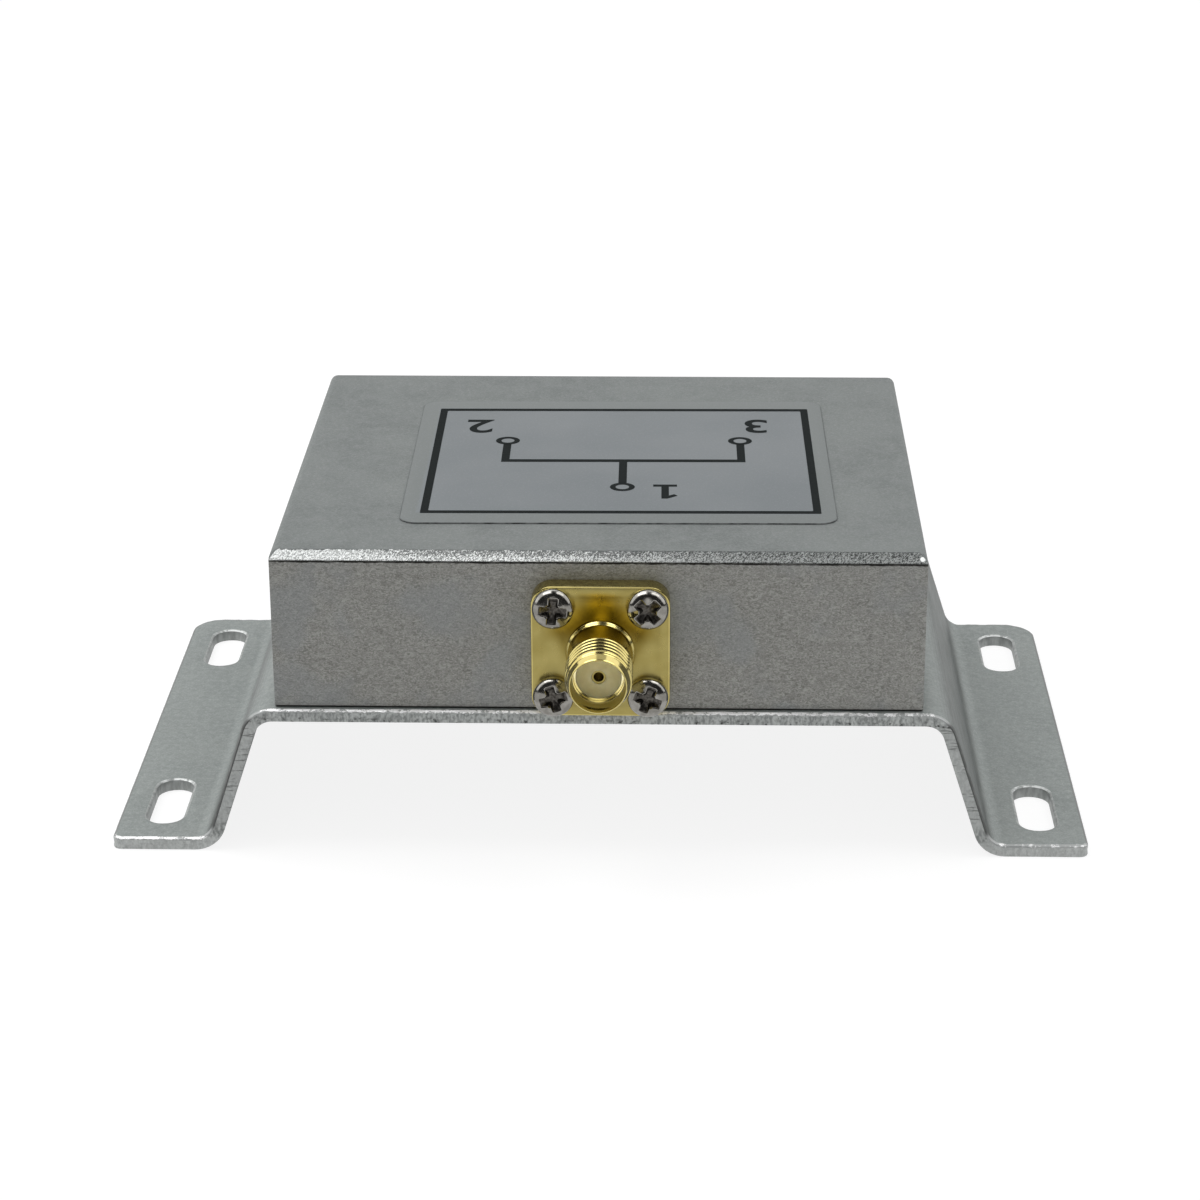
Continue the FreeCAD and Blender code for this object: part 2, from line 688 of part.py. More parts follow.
def make_solder_joints():
    """A cone of solder round each contact's tail, on the copper."""
    radius = "(contact_diameter / 2 + solder_spread)"
    for port, x, wall, turn in PORTS:
        inwards = "1" if size(wall) < 0 else "-1"
        middle = f"{wall} + {inwards} * (housing_wall + contact_tail - {radius})"
        cone = doc.addObject("Part::Cone", f"{port}_solder_cone")
        cone.Placement.Rotation = FreeCAD.Rotation(FreeCAD.Vector(1, 0, 0), 180)
        bind(cone, Radius1=radius, Radius2="contact_diameter / 2 + solder_cover")
        bind(cone, Height="contact_diameter + solder_film + solder_cover")
        bind(cone, Placement__Base__x=x, Placement__Base__y=middle, Placement__Base__z=COPPER_FACE)
        tail = doc.addObject("Part::Cylinder", f"{port}_solder_hole")
        tail.Placement.Rotation = FreeCAD.Rotation(FreeCAD.Vector(1, 0, 0), 90)
        bind(tail, Radius="contact_diameter / 2", Height=f"2 * {radius}")
        bind(tail, Placement__Base__x=x, Placement__Base__z=AXIS_HEIGHT)
        bind(tail, Placement__Base__y=f"{middle} + {radius}")
        joint = doc.addObject("Part::Cut", f"{port}_solder_joint")
        joint.Label = f"{port}_solder_joint"
        joint.Base = cone
        joint.Tool = tail
        subparts.append(joint)


def make_inside_screws():
    """The board's screws, up into the pillars, and the bracket's screws, up into the bosses."""
    make_screws("board_screws", "board_screw", PILLAR_X, PILLAR_Y, BOARD_FACE, False)
    plate = "(bracket_rise - sheet_thickness)"
    make_screws("base_screws", "base_screw", BOSS_X, BOSS_Y, plate, False)


def check_document():
    """Stops on any object that failed and on any sub-part without a sound shape."""
    doc.recompute()
    for item in doc.Objects:
        if "Invalid" in item.State or "Error" in item.State:
            raise RuntimeError(f"{item.Label} did not build")
    for part in subparts:
        if part.Shape.isNull() or not part.Shape.isValid():
            raise RuntimeError(f"{part.Label} has no sound shape")


def write_parts():
    os.makedirs("parts", exist_ok=True)
    for part in subparts:
        part.Shape.exportStep(os.path.join("parts", f"{part.Label}.step"))
        print(f"{part.Label}: {len(part.Shape.Solids)} solid, {part.Shape.Volume:.2f} mm3")


fill_sheet()
make_housing()
make_bracket()
make_label()
make_jacks()
make_board()
make_copper()
make_resistors()
make_solder_joints()
make_inside_screws()
check_document()
write_parts()
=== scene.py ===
"""The looks of a two-way RF power splitter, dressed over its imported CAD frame.

The frame has +X to the right and +Z up, and -Y points out of the input jack. Lengths are in
millimetres, and MM turns them into Blender's metres.
"""

import bmesh
import bpy
import math
from mathutils import Matrix, Vector, noise
from mathutils.geometry import delaunay_2d_cdt


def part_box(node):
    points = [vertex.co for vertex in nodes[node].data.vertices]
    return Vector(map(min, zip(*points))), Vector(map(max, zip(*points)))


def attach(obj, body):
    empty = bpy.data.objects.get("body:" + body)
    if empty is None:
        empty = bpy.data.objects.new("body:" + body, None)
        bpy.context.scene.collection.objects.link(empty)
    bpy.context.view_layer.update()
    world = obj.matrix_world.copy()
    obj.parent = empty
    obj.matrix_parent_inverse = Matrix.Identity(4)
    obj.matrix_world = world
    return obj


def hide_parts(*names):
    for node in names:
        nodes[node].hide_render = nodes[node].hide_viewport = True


MM = 0.001

# Box: its side and its front from the middle, its top, and the cut along the top's front edge
BOX_SIDE = 30.0
BOX_FRONT = 27.0
BOX_TOP = 29.9
MILLED_EDGE = 0.75

# Sheet bracket
SHEET = 1.25
PLATE_TOP = 14.5
SPLAY = math.radians(18)
BEND_RADIUS = 1.8
SHOULDER = 32.5
FOOT_EDGE = 45.905
FOOT_END = 27.7
SLOT_X = 41.605
SLOT_Y = 19.4
SLOT_WIDTH = 3.5
SLOT_LENGTH = 9.8
BASE_SCREW_X = 25.5
BASE_SCREW_Y = 22.5
BASE_SCREW_HOLE = 1.45

# Coaxial jack: half its flange, its radii, and its places along its axis from the wall outwards
FLANGE = 6.35
FLANGE_ROUND = 1.9
FLANGE_THICK = 2.0
SCREW_REACH = 4.32
SCREW_HOLE = 1.15
NECK = 2.875
THREAD_START = 5.5
NOSE_START = 8.65
THREAD_PITCH = 0.7056
CREST = 3.05
ROOT = 2.78
NOSE = 2.6
RIM = 10.1
FLARE = 2.48
MOUTH = 2.275
MOUTH_FLOOR = 7.9
BORE = 2.07

# The corners where screws stand, and how far each jack's screws are turned, in degrees
FOUR_CORNERS = ((-1, 1), (1, 1), (-1, -1), (1, -1))
SCREW_TURNS = {"input": (-5, 45, 17, -20), "output_1": (12, 60, 33, 75), "output_2": (40, 8, 70, 25)}

# Sticker, the frame printed on it, and the ink's faces above its film
LABEL_TOP = 30.035
LABEL_MIDDLE = Vector((1.5, -0.95, LABEL_TOP))
LABEL_TURN = math.radians(0.6)
LABEL_WIDTH = 41.0
LABEL_DEPTH = 36.6
LABEL_ROUND = 1.7
PRINT_WIDTH = 37.7
PRINT_DEPTH = 31.5
PRINT_SHIFT = 0.2
PRINT_LINE = 0.75
INK_LOW = 0.001
INK_TOP = 0.009

# Digit 1, with a flag and a foot, from its lower left corner
ONE = ((-1.15, 0), (1.15, 0), (1.15, 0.6), (0.36, 0.6), (0.36, 4.0), (-0.2, 4.0), (-1.2, 3.2), (-0.86, 2.75),
       (-0.36, 3.12), (-0.36, 0.6), (-1.15, 0.6))

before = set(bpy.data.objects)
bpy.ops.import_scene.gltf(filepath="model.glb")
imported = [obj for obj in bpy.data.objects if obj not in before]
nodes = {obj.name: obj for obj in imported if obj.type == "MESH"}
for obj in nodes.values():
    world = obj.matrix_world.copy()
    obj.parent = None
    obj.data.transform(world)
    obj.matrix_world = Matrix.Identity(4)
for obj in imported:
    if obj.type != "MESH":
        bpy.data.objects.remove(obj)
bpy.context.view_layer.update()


# Outlines

def arc(x, y, radius, start, end, count):
    """Points along an arc, both ends included, with angles in degrees."""
    angles = [math.radians(start + (end - start) * index / (count - 1)) for index in range(count)]
    return [Vector((x + radius * math.cos(angle), y + radius * math.sin(angle))) for angle in angles]


def ring(x, y, radius, count):
    """Points round a circle, anticlockwise."""
    return arc(x, y, radius, 0, 360, count + 1)[:-1]


def rounded_box(width, depth, radius, count, x=0.0):
    """A rectangle with round corners of some points each, anticlockwise from its right lower corner."""
    reach_x = width / 2 - radius
    reach_y = depth / 2 - radius
    points = []
    for turn, (side_x, side_y) in enumerate(((1, -1), (1, 1), (-1, 1), (-1, -1))):
        start = 90 * turn - 90
        points += arc(x + side_x * reach_x, side_y * reach_y, radius, start, start + 90, count)
    return points


def inset(loop, distance):
    """A closed loop moved to its left: inwards where it runs anticlockwise, outwards where clockwise."""
    moved = []
    for before, point, after in zip(loop[-1:] + loop[:-1], loop, loop[1:] + loop[:1]):
        run_in = (point - before).normalized()
        run_out = (after - point).normalized()
        side_in = Vector((-run_in.y, run_in.x))
        side_out = Vector((-run_out.y, run_out.x))
        moved.append(point + (side_in + side_out) * (distance / (1 + side_in.dot(side_out))))
    return moved


def within(point, loops):
    """Whether a point is inside an odd number of the loops."""
    inside = False
    for loop in loops:
        for start, end in zip(loop, loop[1:] + loop[:1]):
            if (start.y > point.y) != (end.y > point.y):
                crossing = start.x + (point.y - start.y) * (end.x - start.x) / (end.y - start.y)
                inside ^= crossing > point.x
    return inside


# Meshes

class Build:
    """A mesh in the making. Its corners are given in the piece's own frame."""

    def __init__(self, place=Matrix.Identity(4)):
        self.mesh = bmesh.new()
        self.place = place
        self.paint = 0

    def corner(self, x, y, z):
        return self.mesh.verts.new(self.place @ Vector((x, y, z)) * MM)

    def corners(self, loop, height):
        return [self.corner(point.x, point.y, height) for point in loop]

    def face(self, corners):
        self.mesh.faces.new(corners).material_index = self.paint

    def band(self, low, high):
        """Faces between two rings of as many corners."""
        for index in range(len(low)):
            after = (index + 1) % len(low)
            self.face((low[index], low[after], high[after], high[index]))

    def fan(self, corners, middle):
        """Faces between a ring and a corner below its middle."""
        for first, second in zip(corners, corners[1:] + corners[:1]):
            self.face((second, first, middle))

    def cap(self, rings, loops, flip=False, spots=(), lines=()):
        """Covers what lies inside the first ring and outside the others.

        The faces also meet at the spots, and they end at the lines, which are pairs of corners' numbers.
        """
        corners = [corner for found in rings for corner in found]
        points = [point for loop in loops for point in loop]
        edges = list(lines)
        start = 0
        for loop in loops:
            edges += [(start + index, start + (index + 1) % len(loop)) for index in range(len(loop))]
            start += len(loop)
        for x, y, z in spots:
            corners.append(self.corner(x, y, z))
            points.append(Vector((x, y)))
        flat, _, triangles, origins, _, _ = delaunay_2d_cdt(points, edges, [], 0, 1e-6, True)
        for triangle in triangles:
            middle = sum((flat[index] for index in triangle), Vector((0, 0))) / 3
            if within(middle, loops):
                picked = [corners[origins[index][0]] for index in triangle]
                self.face(picked[::-1] if flip else picked)

    def plate(self, loops, rims, paints=None):
        """A flat piece with shaped edges. Each rim is an inset and a height, from the under face upwards."""
        rings = [[self.corners(inset(loop, amount), height) for loop in loops] for amount, height in rims]
        for level in range(len(rims) - 1):
            self.paint = paints[level] if paints else 0
            for low, high in zip(rings[level], rings[level + 1]):
                self.band(low, high)
        self.paint = 0
        self.cap(rings[0], [inset(loop, rims[0][0]) for loop in loops], flip=True)
        self.cap(rings[-1], [inset(loop, rims[-1][0]) for loop in loops])

    def turned(self, profile, count, wave, paints):
        """A closed turned ring. The profile runs anticlockwise through radius and height points."""
        rings = []
        for radius, height in profile:
            turned = []
            for index in range(count):
                angle = 2 * math.pi * index / count
                reach = wave(radius, height, angle)
                turned.append(self.corner(reach * math.cos(angle), reach * math.sin(angle), height))
            rings.append(turned)
        for paint, low, high in zip(paints, rings, rings[1:] + rings[:1]):
            self.paint = paint
            self.band(low, high)

    def finish(self, name, materials, slot, *replaced, sharp=32):
        """Makes the object, hangs it on the frame and says which CAD nodes it stands for."""
        bmesh.ops.recalc_face_normals(self.mesh, faces=self.mesh.faces)
        data = bpy.data.meshes.new(name)
        self.mesh.to_mesh(data)
        self.mesh.free()
        data.polygons.foreach_set("use_smooth", [True] * len(data.polygons))
        data.set_sharp_from_angle(angle=math.radians(sharp))
        for material in materials:
            data.materials.append(material)
        piece = bpy.data.objects.new(name, data)
        bpy.context.scene.collection.objects.link(piece)
        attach(piece, "root")
        if replaced:
            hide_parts(*replaced)
        return piece


# Materials

class Nodes:
    """A node tree, with short ways to add to it."""

    def __init__(self, tree):
        self.tree = tree

    def put(self, value, socket):
        """Links another socket to this one, or sets a plain value."""
        if isinstance(value, bpy.types.NodeSocket):
            self.tree.links.new(value, socket)
        else:
            socket.default_value = value

    def node(self, kind, *values, **settings):
        """A shader node with its settings, and with values for its first inputs."""
        made = self.tree.nodes.new("ShaderNode" + kind)
        for name, value in settings.items():
            setattr(made, name, value)
        for value, socket in zip(values, made.inputs):
            self.put(value, socket)
        return made

    def math(self, operation, *values):
        return self.node("Math", *values, operation=operation).outputs[0]

    def product(self, first, *others):
        """The values multiplied, one after the other."""
        for other in others:
            first = self.math("MULTIPLY", first, other)
        return first

    def apart(self, value, middle):
        """How far a value is from a middle one."""
        return self.math("ABSOLUTE", self.math("SUBTRACT", value, middle))

    def ease(self, value, low, high, first=0.0, last=1.0):
        """Goes smoothly from first to last as the value goes from low to high."""
        made = self.node("MapRange", value, low, high, first, last, interpolation_type="SMOOTHSTEP")
        return made.outputs[0]


class Finish(Nodes):
    """A material. Its textures lie in the object's frame, in millimetres."""

    def __init__(self, name, **sockets):
        self.material = bpy.data.materials.new(name)
        self.material.use_nodes = True
        super().__init__(self.material.node_tree)
        self.shader = self.tree.nodes["Principled BSDF"]
        for socket, value in sockets.items():
            self.put(value, self.shader.inputs[socket.replace("_", " ")])
        metres = self.node("TexCoord").outputs["Object"]
        self.place = self.node("VectorMath", metres, (1 / MM,) * 3, operation="MULTIPLY").outputs[0]
        self.x, self.y, self.z = self.node("SeparateXYZ", self.place).outputs
        facing = self.node("NewGeometry").outputs["True Normal"]
        self.facing = self.node("SeparateXYZ", facing).outputs

    def grain(self, size, detail=2.0, stretch=(1, 1, 1), rough=0.5, twist=0.0, turn=0.0):
        """Noise about 0.5 whose lumps are about as large as size, turned about the vertical by an angle."""
        scale = tuple(1 / (size * factor) for factor in stretch)
        turned = self.node("VectorRotate", self.place, (0, 0, 0), (0, 0, 1), turn, rotation_type="Z_AXIS")
        place = self.node("VectorMath", turned.outputs[0], scale, operation="MULTIPLY").outputs[0]
        made = self.node("TexNoise", place)
        for name, value in (("Scale", 1.0), ("Detail", detail), ("Roughness", rough), ("Distortion", twist)):
            made.inputs[name].default_value = value
        return made.outputs[0]

    def tint(self, amount, first, second):
        """A colour between two, each a colour or a socket."""
        made = self.node("Mix", data_type="RGBA")
        for value, socket in ((amount, 0), (first, 6), (second, 7)):
            if isinstance(value, tuple):
                value = (*value, 1.0)
            self.put(value, made.inputs[socket])
        return made.outputs[2]

    def clouded(self, height, dark, light):
        """A colour that goes from dark to light with a noise."""
        return self.tint(self.ease(height, 0.3, 0.7), dark, light)

    def relief(self, *layers):
        """Bumps the surface, each layer a height socket and its depth."""
        normal = None
        for height, depth in layers:
            bump = self.node("Bump")
            bump.inputs["Distance"].default_value = depth * MM
            self.put(height, bump.inputs["Height"])
            if normal:
                self.put(normal, bump.inputs["Normal"])
            normal = bump.outputs[0]
        self.put(normal, self.shader.inputs["Normal"])

    def surface(self, colour, roughness):
        """The material, once it has its colour and roughness."""
        self.put(colour, self.shader.inputs["Base Color"])
        self.put(roughness, self.shader.inputs["Roughness"])
        return self.material


def housing_finish():
    """Dull plate over a cast box: clouded on top, with wavy grain on the sides and a milled edge in front."""
    made = Finish("cast_plate", Metallic=0.5, Specular_IOR_Level=0.2)
    cloud = made.grain(7.0, 4.0, rough=0.6)
    blotch = made.grain(1.6, 3.0, rough=0.6)
    fine = made.grain(0.2, 3.0, rough=0.7)
    wavy = made.grain(0.25, 4.0, (1.6, 1.6, 0.9), 0.7, 1.6)
    blue = made.ease(made.grain(6.0), 0.5, 0.68)
    upright = made.ease(made.math("ABSOLUTE", made.facing[2]), 0.3, 0.1)
    top = made.clouded(cloud, (0.158, 0.173, 0.17), (0.203, 0.219, 0.214))
    top = made.tint(made.ease(blotch, 0.35, 0.7, 0.0, 0.75), top, (0.201, 0.216, 0.213))
    side = made.tint(made.ease(wavy, 0.34, 0.66), (0.19, 0.189, 0.175), (0.405, 0.405, 0.383))
    side = made.tint(made.product(blue, 0.4), side, (0.28, 0.302, 0.316))
    colour = made.tint(upright, top, side)
    colour = made.tint(made.ease(fine, 0.4, 0.75, 0.0, 0.3), colour, (0.4, 0.41, 0.4))
    colour = made.tint(made.ease(fine, 0.36, 0.2, 0.0, 0.3), colour, (0.1, 0.1, 0.098))
    stroke = made.grain(0.15, 3.0, (3.6, 0.7, 0.7), 0.6, 0.8, turn=-0.9)
    colour = milled_edge(made, colour, stroke)
    # Shadow line where the box meets the plate
    colour = made.tint(made.ease(made.z, PLATE_TOP + 0.24, PLATE_TOP + 0.14), colour, (0.045, 0.045, 0.042))
    made.relief((wavy, 0.03), (fine, 0.015), (stroke, 0.04))
    return made.surface(colour, made.ease(cloud, 0.2, 0.8, 0.52, 0.62))


def milled_edge(made, colour, stroke):
    """The cut along the top's front edge: strokes with a painted highlight dulling to the right, between two
    dark lines.
    """
    foot = BOX_TOP - MILLED_EDGE
    reach_x = made.math("SUBTRACT", made.math("ABSOLUTE", made.x), BOX_SIDE - MILLED_EDGE)
    reach_y = made.math("SUBTRACT", MILLED_EDGE - BOX_FRONT, made.y)
    ragged = made.math("ADD", reach_y, made.math("MULTIPLY_ADD", made.grain(0.4, rough=0.6), 0.5, -0.3))
    ends = made.ease(made.math("SUBTRACT", reach_y, reach_x), -0.05, 0.03)
    cut = made.product(made.ease(ragged, -0.06, 0.02), ends, made.ease(made.z, foot - 0.12, foot - 0.07))
    # Painted highlight on the strokes, bright at the left and dulled to the right
    highlight_fade = made.ease(made.x, -11.0, 17.0)
    bright = made.tint(highlight_fade, (0.88, 0.9, 0.89), (0.34, 0.356, 0.35))
    dark_stroke = made.tint(highlight_fade, (0.17, 0.178, 0.175), (0.06, 0.064, 0.062))
    dark_stroke = made.tint(made.ease(made.x, -17.0, -24.0), dark_stroke, (0.33, 0.342, 0.338))
    # Fewer strokes with painted highlight on the upper half, in the middle most of all
    veil = made.product(made.ease(made.x, -27.0, -12.0, 0.0, 0.08), made.ease(made.x, 0.0, 14.0, 1.0, 0.35),
                        made.ease(made.z, foot + 0.15, foot + 0.5))
    milled = made.tint(made.ease(made.math("SUBTRACT", stroke, veil), 0.42, 0.54), dark_stroke, bright)
    # A painted glint at the right end
    glint = (BOX_SIDE - 0.5, 0.25 - BOX_FRONT, foot + 0.3)
    away = made.node("VectorMath", made.place, glint, operation="DISTANCE").outputs["Value"]
    milled = made.tint(made.ease(away, 0.3, 0.18), milled, (0.95, 0.97, 0.96))
    colour = made.tint(cut, colour, milled)
    # A painted shade line below, with nicks, and a dark line above, which is stronger to the right
    torn = made.math("MULTIPLY_ADD", made.grain(0.6, 3.0, (2.0, 1.0, 1.0), 0.7), 0.36, -0.18)
    start = made.ease(made.math("ADD", made.z, torn), foot - 0.33, foot - 0.25)
    nicks = made.ease(made.grain(1.1, 2.0, (1.6, 1, 1)), 0.35, 0.55, 0.75, 1.0)
    below = made.product(start, made.ease(made.z, foot - 0.05, foot - 0.1), nicks)
    colour = made.tint(below, colour, (0.022, 0.022, 0.02))
    stronger = made.ease(made.x, -4.0, 8.0, 0.4, 0.85)
    above = made.product(made.math("COMPARE", ragged, -0.09, 0.06), ends,
                         made.ease(made.z, BOX_TOP - 0.2, BOX_TOP - 0.1), stronger)
    return made.tint(above, colour, (0.08, 0.086, 0.084))


def sheet_finish():
    """Pale dull plate on the bent sheet, with painted shade on the legs, deeper low down, and streaks along
    them.
    """
    made = Finish("sheet_plate", Metallic=0.6, Specular_IOR_Level=0.3)
    cloud = made.grain(7.0, 4.0, rough=0.6)
    mottle = made.grain(0.7, 4.0, rough=0.7)
    fine = made.grain(0.2, 3.0, rough=0.7)
    streak = made.grain(0.4, 2.0, (1, 9, 1))
    colour = made.clouded(cloud, (0.238, 0.262, 0.254), (0.278, 0.301, 0.291))
    colour = made.tint(made.ease(mottle, 0.38, 0.66, 0.0, 0.6), colour, (0.33, 0.352, 0.343))
    colour = made.tint(made.ease(fine, 0.45, 0.75, 0.0, 0.35), colour, (0.5, 0.52, 0.51))
    colour = made.tint(made.ease(fine, 0.4, 0.22, 0.0, 0.35), colour, (0.14, 0.15, 0.145))
    # Painted shade on the sloping legs, deeper towards the lower bend and broken by streaks
    leg = made.ease(made.facing[2], 0.96, 0.5)
    bend = made.ease(made.z, SHEET + 2.95, SHEET + 1.35, 0.67, 0.8)
    shade = made.math("ADD", bend, made.ease(streak, 0.36, 0.68, -0.08, 0.08))
    colour = made.tint(made.product(leg, shade), colour, (0.075, 0.08, 0.077))
    made.relief((mottle, 0.02), (fine, 0.02))
    return made.surface(colour, made.ease(cloud, 0.2, 0.8, 0.5, 0.6))


def sheared_finish():
    """The sheet's cut edge: a rough break, with pits low on the plate's edge and creases across the legs'."""
    made = Finish("sheared_edge", Metallic=0.5, Specular_IOR_Level=0.3)
    tear = made.grain(0.3, 3.0, (0.8, 0.8, 1.6), 0.6)
    coarse = made.grain(2.4, 3.0)
    over_foot = made.ease(made.z, SHEET + 0.95, SHEET + 2.15)
    on_leg = made.product(over_foot, made.ease(made.z, PLATE_TOP - 0.9, PLATE_TOP - 1.6))
    on_foot = made.ease(made.z, SHEET + 0.35, SHEET + 0.05)
    low = made.ease(made.z, PLATE_TOP - 0.6, PLATE_TOP - 1.1)
    on_plate = made.ease(made.z, PLATE_TOP - 1.6, PLATE_TOP - 1.2, 0.15, 1.0)
    pits = made.product(made.ease(made.grain(0.42, 3.0, (1.4, 1, 1)), 0.56, 0.66), low, on_plate)
    crease = made.product(made.ease(made.grain(0.22, 2.0, (9, 9, 1)), 0.57, 0.65), on_leg, 0.65)
    colour = made.tint(made.ease(tear, 0.34, 0.66), (0.25, 0.264, 0.258), (0.54, 0.56, 0.55))
    colour = made.tint(made.ease(coarse, 0.4, 0.7, 0.0, 0.35), colour, (0.27, 0.28, 0.275))
    colour = made.tint(made.product(on_foot, 0.5), colour, (0.62, 0.64, 0.63))
    colour = made.tint(made.product(on_leg, 0.65), colour, (0.5, 0.517, 0.51))
    colour = made.tint(pits, colour, (0.07, 0.073, 0.07))
    colour = made.tint(crease, colour, (0.13, 0.136, 0.13))
    made.relief((tear, 0.06), (pits, -0.05), (crease, -0.03))
    return made.surface(colour, 0.6)


def punched_finish():
    """The smooth walls of the bracket's holes, with a painted highlight on the upper rim in the feet's slots.
    """
    made = Finish("punched_wall", Metallic=0.5, Specular_IOR_Level=0.2)
    streak = made.grain(0.5, 3.0, (1, 1, 3), 0.6)
    colour = made.clouded(streak, (0.3, 0.315, 0.308), (0.46, 0.478, 0.47))
    # Painted highlight along the upper rim where the walls face the front
    rim = made.product(made.ease(made.z, SHEET - 0.19, SHEET - 0.11), made.ease(made.facing[1], -0.1, -0.4),
                       made.ease(made.grain(0.6, 3.0), 0.4, 0.55))
    colour = made.tint(rim, colour, (0.72, 0.74, 0.73))
    made.relief((streak, 0.02))
    return made.surface(colour, 0.5)


def burr_finish():
    """The lip that the shear leaves along the sheet's upper edges.

    Where it faces the front it is paler, with a ragged painted highlight that breaks up to the right; it has
    painted shade on the legs and is dull elsewhere.
    """
    made = Finish("burr_painted_light", Metallic=0.3)
    torn = made.math("SUBTRACT", made.grain(0.7, 4.0, rough=0.7), made.ease(made.x, 8.0, 42.0, 0.0, 0.12))
    depth = made.math("MINIMUM", made.apart(made.z, PLATE_TOP), made.apart(made.z, SHEET))
    ragged = made.math("MULTIPLY_ADD", made.grain(0.3, 3.0, (1.5, 1.0, 1.0), 0.7), 0.6, -0.3)
    level = made.ease(made.math("ADD", depth, ragged), 0.21, 0.14)
    # Painted highlight where the lip faces the front, ragged and fading to the right
    ahead = made.ease(made.facing[1], -0.12, -0.3)
    fading = made.ease(made.x, 5.0, 35.0, 1.0, 0.85)
    lit = made.product(made.ease(torn, 0.37, 0.47), level, ahead, fading)
    over_foot = made.ease(made.z, SHEET + 0.65, SHEET + 1.35)
    on_leg = made.product(over_foot, made.ease(made.z, PLATE_TOP - 0.7, PLATE_TOP - 1.3))
    # Paler where it faces the front, as painted light, and painted shade on the legs
    plain = made.tint(ahead, (0.2, 0.21, 0.206), (0.4, 0.415, 0.41))
    plain = made.tint(on_leg, plain, (0.085, 0.089, 0.086))
    colour = made.tint(lit, plain, (1.0, 1.0, 1.0))
    made.relief((made.grain(0.25), 0.04))
    return made.surface(colour, 0.4)


def gold_finish(name, dark, light):
    """Bright gold plate, a little clouded."""
    made = Finish(name, Metallic=1.0)
    cloud = made.grain(2.6)
    colour = made.clouded(cloud, dark, light)
    made.relief((made.grain(1.6, 1.0), 0.01), (made.grain(0.12), 0.001))
    return made.surface(colour, made.ease(made.grain(0.8), 0.3, 0.7, 0.1, 0.17))


def satin_gold_finish(axes):
    """Satin gold plate of the flanges, with a painted reflection above the barrels on the given axes and
    painted shade below them.
    """
    made = Finish("gold_plate", Metallic=1.0)
    cloud = made.grain(2.6)
    colour = made.clouded(cloud, (0.315, 0.256, 0.08), (0.37, 0.308, 0.108))
    across = made.apart(made.x, axes[0].x)
    for axis in axes[1:]:
        across = made.math("MINIMUM", across, made.apart(made.x, axis.x))
    above = made.math("SUBTRACT", made.z, axes[0].z)
    squares = made.math("ADD", made.math("POWER", across, 2.0), made.math("POWER", above, 2.0))
    reach = made.math("SQRT", squares)
    # A painted reflection above each barrel, deep gold with an orange middle, and painted shade below
    painted_reflection = made.product(made.ease(reach, 6.2, 4.0), made.ease(above, 0.6, 2.6))
    colour = made.tint(made.product(painted_reflection, 0.95), colour, (0.27, 0.178, 0.013))
    colour = made.tint(made.product(painted_reflection, made.ease(across, 1.7, 0.3)), colour, (0.64, 0.43, 0.025))
    shaded = made.product(made.ease(reach, 6.2, 4.4), made.ease(above, -0.6, -2.6), 0.4)
    colour = made.tint(shaded, colour, (0.2, 0.165, 0.06))
    made.relief((made.grain(1.6, 1.0), 0.01), (made.grain(0.12), 0.001))
    return made.surface(colour, made.ease(made.grain(0.8), 0.3, 0.7, 0.27, 0.33))


def nickel_finish(name, dark, light):
    """Bright nickel on the screws, a little clouded."""
    made = Finish(name, Metallic=1.0)
    cloud = made.grain(0.7, 3.0)
    colour = made.clouded(cloud, dark, light)
    made.relief((made.grain(0.15), 0.004))
    return made.surface(colour, made.ease(cloud, 0.3, 0.7, 0.1, 0.18))


def recess_finish():
    """The inside of a screw's cross recess, darkened with painted shade."""
    made = Finish("screw_recess_painted_shade", Metallic=0.9)
    colour = made.clouded(made.grain(0.25), (0.035, 0.031, 0.027), (0.12, 0.112, 0.1))
    return made.surface(colour, 0.3)


def insulator_finish():
    """White PTFE, waxy and a little see-through, with a painted yellow reflection of the gold round it."""
    made = Finish("ptfe", Subsurface_Weight=0.6, Subsurface_Scale=1.2 * MM, Subsurface_Radius=(1.0, 0.8, 0.5))
    cloud = made.grain(0.8)
    # The yellow is a painted reflection of the gold round it
    colour = made.clouded(cloud, (0.8, 0.69, 0.34), (0.92, 0.8, 0.44))
    made.relief((made.grain(0.2), 0.004))
    return made.surface(colour, 0.38)


def film_finish():
    """Silver film of the sticker, whose margin round the print is more like the box's plate."""
    made = Finish("silver_film", Metallic=0.3, Specular_IOR_Level=0.2)
    cloud = made.grain(12.0)
    sparkle = made.grain(0.16, 1.0)
    colour = made.clouded(cloud, (0.19, 0.208, 0.218), (0.213, 0.23, 0.24))
    half_x = PRINT_WIDTH / 2
    half_y = PRINT_DEPTH / 2
    blur = 0.25
    beside = made.ease(made.apart(made.x, LABEL_MIDDLE.x), half_x - blur, half_x + blur)
    beyond = made.ease(made.apart(made.y, LABEL_MIDDLE.y), half_y - blur, half_y + blur)
    margin = made.math("MAXIMUM", beside, beyond)
    colour = made.tint(margin, colour, (0.195, 0.211, 0.208))
    colour = made.tint(made.ease(sparkle, 0.5, 0.8, 0.0, 0.25), colour, (0.33, 0.352, 0.366))
    made.relief((made.grain(14.0, 1.0), 0.05), (sparkle, 0.002))
    return made.surface(colour, 0.5)


def film_edge_finish():
    """The film's cut edge, dark and mottled, paler at the sides."""
    made = Finish("film_edge", Specular_IOR_Level=0.1)
    edge_mottle = made.ease(made.grain(1.2, 3.0), 0.35, 0.65)
    colour = made.tint(edge_mottle, (0.05, 0.053, 0.053), (0.17, 0.178, 0.178))
    aside = made.ease(made.math("ABSOLUTE", made.facing[1]), 0.7, 0.2)
    colour = made.tint(made.product(aside, 0.7), colour, (0.2, 0.215, 0.212))
    return made.surface(colour, 0.7)


